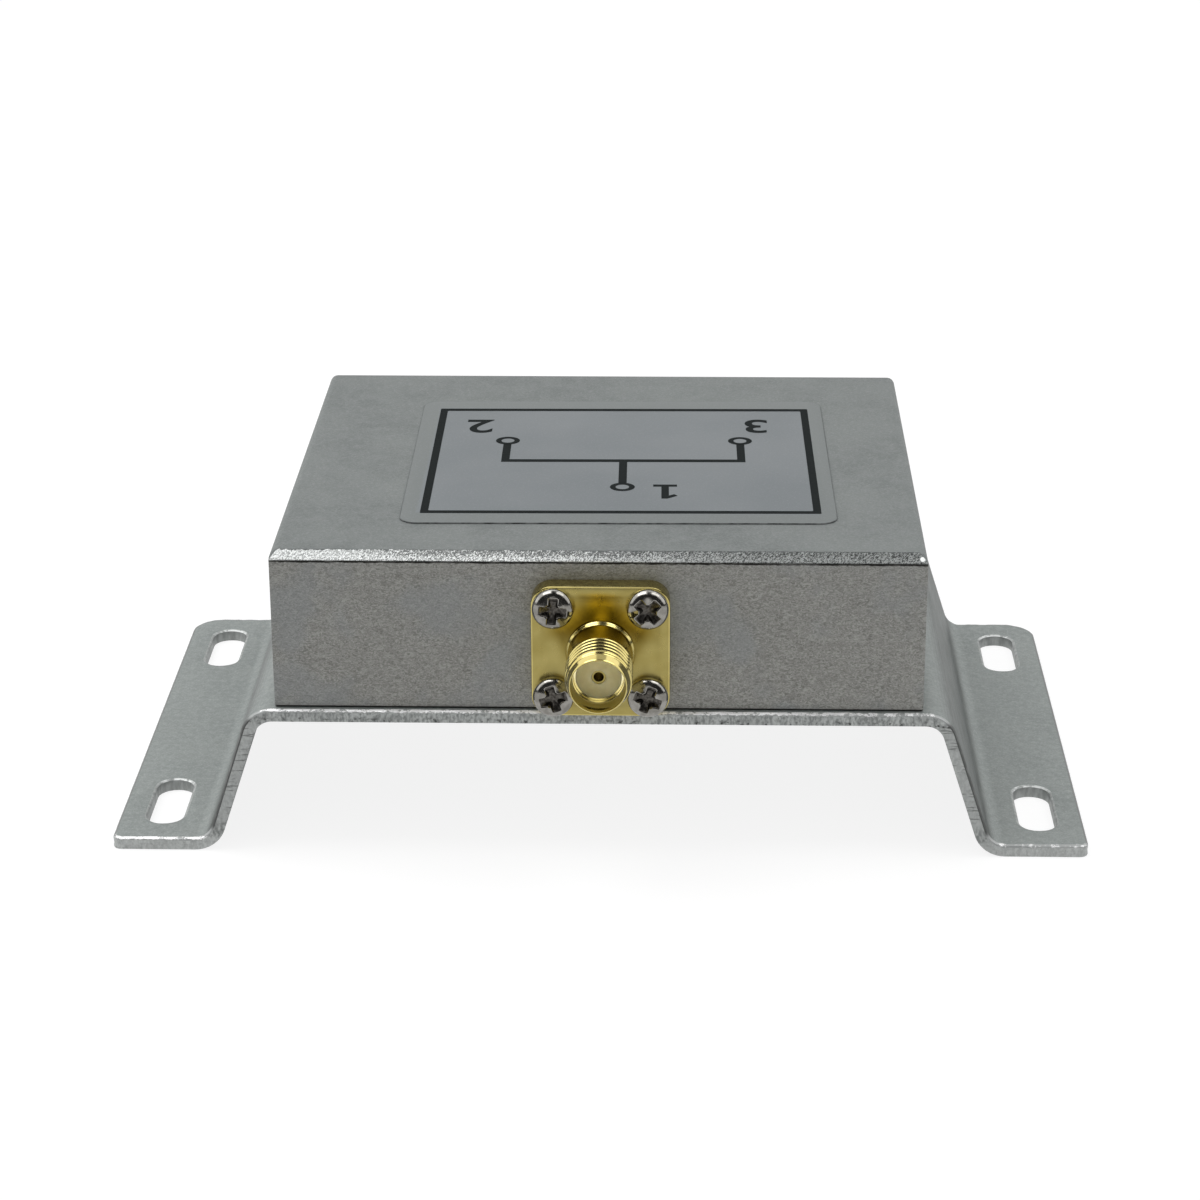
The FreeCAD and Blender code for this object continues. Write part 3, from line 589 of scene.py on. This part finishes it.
def ink_finish():
    """Matt black ink."""
    made = Finish("print_ink", Specular_IOR_Level=0.03)
    colour = made.tint(made.grain(0.3), (0.012, 0.015, 0.015), (0.022, 0.025, 0.025))
    return made.surface(colour, 0.8)


def laminate_finish():
    """Woven glass laminate of the circuit board."""
    made = Finish("glass_laminate")
    weave = made.grain(0.4, 2.0, (3, 0.5, 1))
    colour = made.clouded(weave, (0.62, 0.58, 0.42), (0.7, 0.67, 0.52))
    made.relief((weave, 0.01))
    return made.surface(colour, 0.5)


def copper_finish():
    """Etched copper, clouded."""
    made = Finish("etched_copper", Metallic=1.0)
    cloud = made.grain(1.5, 3.0)
    colour = made.clouded(cloud, (0.55, 0.25, 0.13), (0.72, 0.4, 0.24))
    return made.surface(colour, made.ease(cloud, 0.3, 0.7, 0.25, 0.45))


def chip_finish():
    """Dark coating of the resistors."""
    made = Finish("resistor_body")
    colour = made.tint(made.grain(0.2), (0.02, 0.02, 0.024), (0.05, 0.05, 0.055))
    return made.surface(colour, 0.4)


def solder_finish():
    """Soft bright solder."""
    made = Finish("solder", Metallic=1.0)
    cloud = made.grain(0.5)
    colour = made.clouded(cloud, (0.42, 0.42, 0.43), (0.58, 0.58, 0.59))
    made.relief((cloud, 0.03))
    return made.surface(colour, 0.3)


# Bracket

TURN = math.pi / 2 - SPLAY
# How far a bend of radius 1 starts from where the flats beside it would meet
SETBACK = math.tan(TURN / 2)
MIDDLE_RADIUS = BEND_RADIUS + SHEET / 2
FIRST_MIDDLE = Vector((SHOULDER - (BEND_RADIUS + SHEET) * SETBACK, PLATE_TOP - SHEET - BEND_RADIUS))
KNEE = SHOULDER + (PLATE_TOP - SHEET) * math.tan(SPLAY)
SECOND_MIDDLE = Vector((KNEE + BEND_RADIUS * SETBACK, SHEET + BEND_RADIUS))
LEG = (PLATE_TOP - SHEET) / math.cos(SPLAY) - (2 * BEND_RADIUS + SHEET) * SETBACK
BEND_RUN = MIDDLE_RADIUS * TURN
FIRST_BEND = FIRST_MIDDLE.x
SECOND_BEND = FIRST_BEND + BEND_RUN + LEG
FOOT_START = SECOND_BEND + BEND_RUN
SHEET_END = FOOT_START + FOOT_EDGE - SECOND_MIDDLE.x


def bent(run, y, lift):
    """Where a point of the flat sheet lies once the sheet is bent, lift above the sheet's middle."""
    along = abs(run)
    if along < FIRST_BEND:
        angle = 0.0
        spot = Vector((along, PLATE_TOP - SHEET / 2))
    elif along < SECOND_BEND:
        angle = min((along - FIRST_BEND) / MIDDLE_RADIUS, TURN)
        spot = FIRST_MIDDLE + MIDDLE_RADIUS * Vector((math.sin(angle), math.cos(angle)))
        spot += max(along - FIRST_BEND - BEND_RUN, 0) * Vector((math.cos(TURN), -math.sin(TURN)))
    else:
        angle = max(TURN - (along - SECOND_BEND) / MIDDLE_RADIUS, 0.0)
        spot = SECOND_MIDDLE - MIDDLE_RADIUS * Vector((math.sin(angle), math.cos(angle)))
        spot += max(along - FOOT_START, 0) * Vector((1, 0))
    spot += lift * Vector((math.sin(angle), math.cos(angle)))
    return math.copysign(1, run) * spot.x, y, spot.y


def stations(reach):
    """Places along the sheet for the edge's corners, closer together in the bends, and those in the bends."""
    bend_steps = 10
    spacing = 0.45
    folds = []
    for start in (FIRST_BEND, SECOND_BEND):
        folds += [start + BEND_RUN * step / bend_steps for step in range(bend_steps + 1)]
    plain = [index * spacing for index in range(int(reach / spacing))]
    plain = [run for run in plain if all(abs(run - fold) > spacing / 2 for fold in folds)]
    half = sorted(plain[1:] + folds)
    whole = [-run for run in reversed(half)] + [0.0] + half
    return whole, [whole.index(sign * fold) for fold in folds for sign in (-1, 1)]


def slot_outline(x, y):
    """A slot, clockwise."""
    reach = (SLOT_LENGTH - SLOT_WIDTH) / 2
    top = arc(x, y + reach, SLOT_WIDTH / 2, 0, 180, 13)
    bottom = arc(x, y - reach, SLOT_WIDTH / 2, 180, 360, 13)
    return (top + bottom)[::-1]


def sheet_outline():
    """The flat sheet's outline, anticlockwise from its front left, and the lines across it at its folds."""
    front_round = 0.8
    back_round = 3.1
    side_start = 1.5
    side_step = 0.6
    side_count = 84
    runs, folds = stations(SHEET_END - back_round - 0.3)
    sides = [side_start - FOOT_END + side_step * index for index in range(side_count)]
    outline = [Vector((run, -FOOT_END)) for run in runs]
    outline += arc(SHEET_END - front_round, front_round - FOOT_END, front_round, -90, 0, 6)
    outline += [Vector((SHEET_END, y)) for y in sides]
    outline += arc(SHEET_END - back_round, FOOT_END - back_round, back_round, 0, 90, 12)
    outline += [Vector((run, FOOT_END)) for run in reversed(runs)]
    last_back = len(outline) - 1
    outline += arc(back_round - SHEET_END, FOOT_END - back_round, back_round, 90, 180, 12)
    outline += [Vector((-SHEET_END, y)) for y in reversed(sides)]
    outline += arc(front_round - SHEET_END, front_round - FOOT_END, front_round, 180, 270, 6)
    return outline, [(fold, last_back - fold) for fold in folds]


def torn_loop(loop, amount, lift, waver, is_outline):
    """A loop of the flat sheet moved in by an amount and a waver, which is less in holes and on the ends."""
    moved = []
    for point, start in zip(inset(loop, amount), loop):
        spot = Vector((start.x * 1.1, start.y * 1.1, lift * 3))
        uneven = abs(noise.noise(spot) + 0.5 * noise.noise(spot * 2.7))
        share = 1.0 if is_outline and abs(start.x) < SHEET_END - 0.01 else 0.3
        moved.append(point + (point - start).normalized() * (waver * share * uneven))
    return moved


def make_bracket(materials):
    """The sheet, laid out flat with its holes, given a sheared edge with a burr, and bent."""
    outline, lines = sheet_outline()
    slot_run = SHEET_END - (FOOT_EDGE - SLOT_X)
    loops = [outline]
    for x, y in ((-1, -1), (1, -1), (-1, 1), (1, 1)):
        loops.append(slot_outline(x * slot_run, y * SLOT_Y))
        loops.append(ring(x * BASE_SCREW_X, y * BASE_SCREW_Y, BASE_SCREW_HOLE, 28)[::-1])

    half = SHEET / 2
    plain, cut, lip, punched = range(4)
    # Each rim is an inset, a height over the sheet's middle and a waver
    rims = ((0.14, -half, 0.0), (0.04, -half + 0.05, 0.0), (0.0, -half + 0.16, 0.0), (0.03, -0.1, 0.12),
            (0.0, half - 0.26, 0.0), (0.03, half - 0.13, 0.1), (0.25, half, 0.2))
    paints = (cut, cut, cut, cut, lip, lip)
    build = Build()
    rings = []
    flats = []
    for amount, lift, waver in rims:
        flat = [torn_loop(loop, amount, lift, waver, loop is outline) for loop in loops]
        rings.append([[build.corner(*bent(point.x, point.y, lift)) for point in loop] for loop in flat])
        flats.append(flat)
    for level, paint in enumerate(paints):
        for number, (low, high) in enumerate(zip(rings[level], rings[level + 1])):
            build.paint = punched if number else paint
            build.band(low, high)
    build.paint = plain
    build.cap(rings[0], flats[0], flip=True, lines=lines)
    build.cap(rings[-1], flats[-1], lines=lines)
    piece = build.finish("bent_sheet", materials, "bracket", "mounting_bracket", sharp=35)
    shading = piece.modifiers.new("even_flats", "WEIGHTED_NORMAL")
    shading.keep_sharp = True


# Screws

def cross_outline(reach, width):
    """The cross recess's outline, clockwise, with eased corners."""
    inner = width + 0.22
    tip = reach - 0.07
    eased = width * 0.7
    quarter = ((reach, -eased), (reach, eased), (tip, width), (inner, width), (width, inner), (width, tip))
    points = []
    for turn in range(4):
        cosine = math.cos(turn * math.pi / 2)
        sine = math.sin(turn * math.pi / 2)
        points += [Vector((x * cosine - y * sine, x * sine + y * cosine)) for x, y in quarter]
    return points[::-1]


def pan_head_screw(build, radius, height, shank, length):
    """A pan head screw with a cross recess. Its head stands on the floor of its own frame."""
    # Paints: plain nickel, the recess with painted shade, and a brighter copy as painted highlight on the
    # head's edge
    plated, recess, rim = range(3)
    count = 40
    crown = 0.78 * radius

    def dome(reach):
        share = min(reach / radius, 1.0)
        return height * (0.3 + 0.7 * math.sqrt(1 - share ** 2))

    sides = [(shank, -length + shank * 0.6), (shank, 0.0), (radius - 0.06, 0.0), (radius, 0.07)]
    sides += [(radius * share, dome(radius * share)) for share in (1.0, 0.99, 0.97, 0.94, 0.9, 0.84)]
    sides.append((crown, dome(crown)))
    rings = [build.corners(ring(0, 0, reach, count), level) for reach, level in sides]
    for number, (low, high) in enumerate(zip(rings, rings[1:])):
        build.paint = rim if number in (2, 3, 4) else plated
        build.band(low, high)
    build.paint = plated
    build.fan(rings[0], build.corner(0, 0, -length))
    # The crown, down to the recess's rounded lip
    cross = cross_outline(radius * 0.68, radius * 0.23)
    lip = [build.corner(point.x, point.y, dome(point.length) - 0.05) for point in cross]
    outer = inset(cross, 0.07)
    edge = [build.corner(point.x, point.y, dome(point.length)) for point in outer]
    keep_off = inset(cross, 0.12)
    spots = []
    for reach, number in ((0.62 * radius, 28), (0.46 * radius, 20), (0.33 * radius, 12)):
        for point in ring(0, 0, reach, number):
            if not within(point, [keep_off]):
                spots.append((point.x, point.y, dome(reach)))
    build.cap([rings[-1], edge], [ring(0, 0, crown, count), outer], spots=spots)
    build.band(lip, edge)
    # The recess, narrower as it goes down
    build.paint = recess
    depth = 0.55 * height
    previous = lip
    for share, scale in ((0.25, 0.93), (0.6, 0.82), (1.0, 0.55)):
        lower = []
        for point in cross:
            level = min(height - depth * share, dome(point.length) - 0.06)
            lower.append(build.corner(point.x * scale, point.y * scale, level))
        build.band(lower, previous)
        previous = lower
    build.fan(previous, build.corner(0, 0, height - depth * 1.15))
    build.paint = plated


# Jacks

def thread_radius(radius, height, angle):
    """The barrel's radius with its thread cut in, which runs out on the nose."""
    if height <= THREAD_START:
        return radius
    run_in = 0.3
    turns = (height - THREAD_START) / THREAD_PITCH - angle / (2 * math.pi)
    groove = 0.5 + 0.5 * math.cos(2 * math.pi * turns)
    fade = min((height - THREAD_START) / run_in, 1.0)
    return min(radius, CREST - (CREST - ROOT) * groove * fade)


def jack_place(node):
    """A frame on the wall where a jack's CAD node stands, its Z along the jack."""
    low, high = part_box(node)
    front = low.y < 0
    wall = (high.y if front else low.y) / MM
    side = Vector((1 if front else -1, 0, 0))
    out = Vector((0, -1 if front else 1, 0))
    place = Matrix((side, (0, 0, 1), out)).transposed().to_4x4()
    place.translation = ((low.x + high.x) / 2 / MM, wall, (low.z + high.z) / 2 / MM)
    return place


def barrel_profile():
    """The barrel's section: collar and fillet on the flange, neck, thread, nose, rim and flared mouth."""
    top = FLANGE_THICK
    collar = NECK + 0.3
    profile = [(BORE, 0.02), (collar, 0.02), (collar, top + 0.3), (collar - 0.04, top + 0.38)]
    profile += [(NECK + 0.12, top + 0.5), (NECK + 0.03, top + 0.62), (NECK, top + 0.8), (NECK, THREAD_START)]
    # The first steps are left out, so that the neck slopes up to the thread
    step = 0.055
    left_out = 3
    count = int((RIM - 0.05 - THREAD_START) / step)
    for index in range(left_out, count):
        height = THREAD_START + step * index
        slope = max(height - NOSE_START, 0) * (CREST - NOSE) / (RIM - NOSE_START)
        profile.append((CREST - slope, height))
    profile += [(NOSE, RIM - 0.03), (NOSE - 0.03, RIM), (FLARE + 0.02, RIM), (FLARE, RIM - 0.03)]
    profile += [(MOUTH, NOSE_START), (MOUTH, MOUTH_FLOOR + 0.03), (MOUTH - 0.03, MOUTH_FLOOR)]
    return profile + [(BORE, MOUTH_FLOOR)]


def make_jack(port, golds, screws):
    """A port's jack, and the four screws in its flange. Its flat faces take the first of the golds."""
    turned_paint = 1
    seat_paint = 2
    place = jack_place(f"{port}_jack")
    build = Build(place)
    middle_hole = BORE + 0.33
    loops = [rounded_box(2 * FLANGE, 2 * FLANGE, FLANGE_ROUND, 9), ring(0, 0, middle_hole, 40)[::-1]]
    loops += [ring(x * SCREW_REACH, y * SCREW_REACH, SCREW_HOLE, 20)[::-1] for x in (-1, 1) for y in (-1, 1)]
    top = FLANGE_THICK
    rims = ((0.1, 0.0), (0.0, 0.1), (0.0, top - 0.14), (0.04, top - 0.04), (0.14, top))
    build.plate(loops, rims, [turned_paint] * 4)
    profile = barrel_profile()
    paints = []
    for (radius, height), after in zip(profile, profile[1:] + profile[:1]):
        seat = max(radius, after[0]) <= MOUTH and min(height, after[1]) >= MOUTH_FLOOR
        paints.append(seat_paint if seat else turned_paint)
    build.turned(profile, 84, thread_radius, paints)
    build.finish(f"{port}_jack_body", golds, "gilt", f"{port}_jack", sharp=40)
    heads = Build()
    for (x, y), angle in zip(FOUR_CORNERS, SCREW_TURNS[port]):
        spot = Matrix.Translation((x * SCREW_REACH, y * SCREW_REACH, FLANGE_THICK))
        heads.place = place @ spot @ Matrix.Rotation(math.radians(angle), 4, "Z")
        pan_head_screw(heads, radius=1.9, height=1.3, shank=1.0, length=5.0)
    heads.finish(f"{port}_flange_screws", screws, "screws", f"{port}_jack_screws")


def make_base_screws(screws):
    """The screws that hold the bracket, heads down under the plate, each turned by another angle."""
    build = Build()
    for index, (x, y) in enumerate(FOUR_CORNERS):
        spot = Matrix.Translation((x * BASE_SCREW_X, y * BASE_SCREW_Y, PLATE_TOP - SHEET))
        build.place = spot @ Matrix.Rotation(math.pi, 4, "X") @ Matrix.Rotation(1.0 + 1.7 * index, 4, "Z")
        pan_head_screw(build, radius=2.35, height=1.6, shank=1.25, length=6.0)
    build.finish("bracket_screws", screws, "screws", "base_screws")


# Sticker

def label_place():
    """A frame on the sticker's upper face, turned as the sticker is."""
    place = Matrix.Rotation(LABEL_TURN, 4, "Z")
    place.translation = LABEL_MIDDLE
    return place


def make_label(film, film_edge, ink):
    """The sticker, and its print as thin ink on it: a frame, port numbers and a plain forked line."""
    thickness = LABEL_TOP - BOX_TOP
    edge_paint = 1
    build = Build(label_place())
    rims = ((0.0, -thickness + 0.001), (0.0, -0.05), (0.03, -0.015), (0.1, 0.0))
    build.plate([rounded_box(LABEL_WIDTH, LABEL_DEPTH, LABEL_ROUND, 9)], rims, [edge_paint] * 3)
    build.finish("sticker", [film, film_edge], "label", "label")
    print_on = Build(label_place())
    ink_rims = ((0.0, INK_LOW), (0.0, INK_TOP))
    border = rounded_box(PRINT_WIDTH, PRINT_DEPTH, 0.1, 2, PRINT_SHIFT)
    inside = rounded_box(PRINT_WIDTH - 2 * PRINT_LINE, PRINT_DEPTH - 2 * PRINT_LINE, 0.1, 2, PRINT_SHIFT)
    print_on.plate([border, inside[::-1]], ink_rims)
    for loops in fork_marks():
        print_on.plate(loops, ink_rims)
    # The 1 is turned about, like the other digits, to be read from behind
    one_x = 4.4
    one_y = -7.6
    print_on.plate([[Vector((one_x - x, one_y - y)) for x, y in ONE]], ink_rims)
    for digit, x, y in (("2", -14.3, 10.3), ("3", 13.6, 10.4)):
        add_digit(print_on, digit, x, y)
    print_on.finish("sticker_print", [ink], "label")


def fork_marks():
    """A forked line from the input to the two outputs and a round mark at each end, as lists of loops."""
    half = 0.4
    arm = 11.6
    start = -7.2
    level = -0.6
    end = 4.4
    middle = 0.3
    mark_outer = 1.2
    mark_inner = 0.65
    mark_away = 1.1
    under = level - half
    over = level + half
    fork = ((-half, start), (half, start), (half, under), (arm + half, under), (arm + half, end),
            (arm - half, end), (arm - half, over), (half - arm, over), (half - arm, end),
            (-half - arm, end), (-half - arm, under), (-half, under))
    marks = [[[Vector((x + middle, y)) for x, y in fork]]]
    low = start - mark_away
    high = end + mark_away
    for x, y in ((middle, low), (middle - arm, high), (middle + arm, high)):
        marks.append([ring(x, y, mark_outer, 28), ring(x, y, mark_inner, 28)[::-1]])
    return marks


def add_digit(build, digit, x, y):
    """One digit of the built-in font, turned to be read from behind."""
    curve = bpy.data.curves.new("digit", "FONT")
    curve.body = digit
    curve.size = 5.8
    curve.offset = 0.09
    curve.align_x = "CENTER"
    curve.align_y = "CENTER"
    shape = bpy.data.objects.new("digit", curve)
    flat = bpy.data.meshes.new_from_object(shape)
    found = bmesh.new()
    found.from_mesh(flat)
    bmesh.ops.triangulate(found, faces=found.faces)
    turned = Matrix.Translation((x, y, 0)) @ Matrix.Rotation(math.pi, 4, "Z")
    spots = [turned @ vertex.co for vertex in found.verts]
    low = [build.corner(spot.x, spot.y, INK_LOW) for spot in spots]
    high = [build.corner(spot.x, spot.y, INK_TOP) for spot in spots]
    for face in found.faces:
        order = [vertex.index for vertex in face.verts]
        build.face([high[index] for index in order])
        build.face([low[index] for index in reversed(order)])
    for edge in found.edges:
        if edge.is_boundary:
            first, second = (vertex.index for vertex in edge.verts)
            build.face((low[first], low[second], high[second], high[first]))
    found.free()
    bpy.data.objects.remove(shape)
    bpy.data.meshes.remove(flat)


# Studio

def make_floor():
    """A white floor that keeps the object's shadow."""
    reach = 6000 * MM
    corners = [(x * reach, y * reach, 0) for x, y in ((-1, -1), (1, -1), (1, 1), (-1, 1))]
    data = bpy.data.meshes.new("floor")
    data.from_pydata(corners, [], [(0, 1, 2, 3)])
    floor = bpy.data.objects.new("floor", data)
    bpy.context.scene.collection.objects.link(floor)
    made = Finish("floor_white")
    seen = seen_rays(made)
    matte = made.node("BsdfDiffuse", (0.8, 0.8, 0.8, 1.0)).outputs[0]
    veiled = made.node("BsdfDiffuse", (0.2, 0.2, 0.2, 1.0)).outputs[0]
    glow = made.node("Emission", (1.0, 1.0, 1.0, 1.0), 0.86).outputs[0]
    shown = made.node("AddShader", veiled, glow).outputs[0]
    mixed = made.node("MixShader", seen, matte, shown).outputs[0]
    made.put(mixed, made.tree.nodes["Material Output"].inputs["Surface"])
    data.materials.append(made.material)


def seen_rays(made):
    """1 for rays that show the background: the camera's, and those in mirrors and glass."""
    path = made.node("LightPath")
    shown = made.math("MAXIMUM", path.outputs["Is Camera Ray"], path.outputs["Is Glossy Ray"])
    return made.math("MAXIMUM", shown, path.outputs["Is Transmission Ray"])


def make_world():
    """A white surround. Mirrors show its bright side walls, and between them its unlit front and roof."""
    world = bpy.data.worlds.new("studio")
    world.use_nodes = True
    bpy.context.scene.world = world
    made = Nodes(world.node_tree)
    way = made.node("TexCoord").outputs["Generated"]
    across, along, up = made.node("SeparateXYZ", way).outputs
    # Dim in front and brighter behind, with a soft patch of light round the camera
    dim = made.ease(along, -0.2, 0.7, 0.06, 0.8)
    patch = made.node("VectorMath", way, (0.0, -0.93, 0.36), operation="DISTANCE").outputs["Value"]
    dim = made.math("ADD", dim, made.ease(patch, 0.34, 0.06, 0.0, 1.1))
    # Bright walls at the sides, which end before the front, the back and the floor
    aside = made.math("MAXIMUM", made.ease(across, 0.24, 0.32), made.ease(across, -0.04, -0.12))
    between = made.product(made.ease(along, -0.42, -0.3), made.ease(along, 0.85, 0.72))
    wall = made.product(aside, between, made.ease(up, 0.06, 0.18))
    lit = made.math("MAXIMUM", dim, made.product(wall, 1.8))
    path = made.node("LightPath").outputs
    mirrored = made.product(path["Is Glossy Ray"], lit)
    plain = made.product(path["Is Diffuse Ray"], made.ease(across, -1.0, 1.0, 0.64, 0.36))
    shown = made.math("MAXIMUM", path["Is Camera Ray"], path["Is Transmission Ray"])
    strength = made.math("MAXIMUM", made.math("MAXIMUM", mirrored, plain), shown)
    made.put(strength, made.tree.nodes["Background"].inputs["Strength"])
    made.put((1, 1, 1, 1), made.tree.nodes["Background"].inputs["Color"])


def make_lamp(name, spot, width, watts):
    """A square lamp at a spot, aimed at the middle of the floor."""
    data = bpy.data.lights.new(name, "AREA")
    data.shape = "SQUARE"
    data.size = width * MM
    data.energy = watts
    lamp = bpy.data.objects.new(name, data)
    lamp.location = Vector(spot) * MM
    lamp.rotation_euler = (-lamp.location).to_track_quat("-Z", "Y").to_euler()
    bpy.context.scene.collection.objects.link(lamp)


def make_camera():
    """The camera that was fitted to the photograph. Its focal length is in the photograph's pixels."""
    image = 1200
    focal = 3161.57
    sensor = 36.0
    pitch = math.radians(21.56)
    yaw = math.radians(1.699)
    roll = math.radians(-0.252)
    spot = Vector((8.177, -295.318, 131.438))
    ahead = Vector((-math.sin(yaw) * math.cos(pitch), math.cos(yaw) * math.cos(pitch), -math.sin(pitch)))
    level = Vector((math.cos(yaw), math.sin(yaw), 0))
    above = level.cross(ahead)
    right = math.cos(roll) * level + math.sin(roll) * above
    up = math.cos(roll) * above - math.sin(roll) * level
    data = bpy.data.cameras.new("camera")
    data.sensor_width = sensor
    data.lens = focal / image * sensor
    camera = bpy.data.objects.new("camera", data)
    camera.matrix_world = Matrix((right, up, -ahead)).transposed().to_4x4()
    camera.location = spot * MM
    bpy.context.scene.collection.objects.link(camera)
    bpy.context.scene.camera = camera


def dress(name, material):
    """Gives a CAD node its material."""
    node = nodes[name]
    node.data.materials.clear()
    node.data.materials.append(material)


make_camera()
bpy.context.scene.view_settings.view_transform = "Standard"
make_floor()
make_world()
make_lamp("left_softbox", (-260, 0, 600), width=360, watts=1.5)
make_lamp("right_softbox", (320, 0, 600), width=360, watts=0.8)

gold = satin_gold_finish([jack_place(f"{port}_jack").translation for port in SCREW_TURNS])
seat_gold = gold_finish("seat_gold_plate", (0.85, 0.76, 0.4), (0.95, 0.86, 0.5))
turned_gold = gold_finish("turned_gold_plate", (0.47, 0.39, 0.14), (0.55, 0.465, 0.18))
# Nickel, with painted shade in the recesses and a brighter copy as painted highlight on the head edges
nickel = [nickel_finish("nickel_plate", (0.2, 0.192, 0.175), (0.31, 0.3, 0.278)), recess_finish(),
          nickel_finish("nickel_painted_highlight", (0.8, 0.78, 0.72), (0.92, 0.9, 0.85))]
ptfe = insulator_finish()
solder = solder_finish()
dress("housing", housing_finish())
make_bracket([sheet_finish(), sheared_finish(), burr_finish(), punched_finish()])
for port in SCREW_TURNS:
    make_jack(port, [gold, turned_gold, seat_gold], nickel)
    dress(f"{port}_insulator", ptfe)
    dress(f"{port}_contact", gold)
    dress(f"{port}_solder_joint", solder)
make_base_screws(nickel)
make_label(film_finish(), film_edge_finish(), ink_finish())
dress("circuit_board", laminate_finish())
dress("copper_lines", copper_finish())
chip = chip_finish()
for number in (1, 2, 3):
    dress(f"isolation_resistor_{number}", chip)
dress("board_screws", nickel[0])
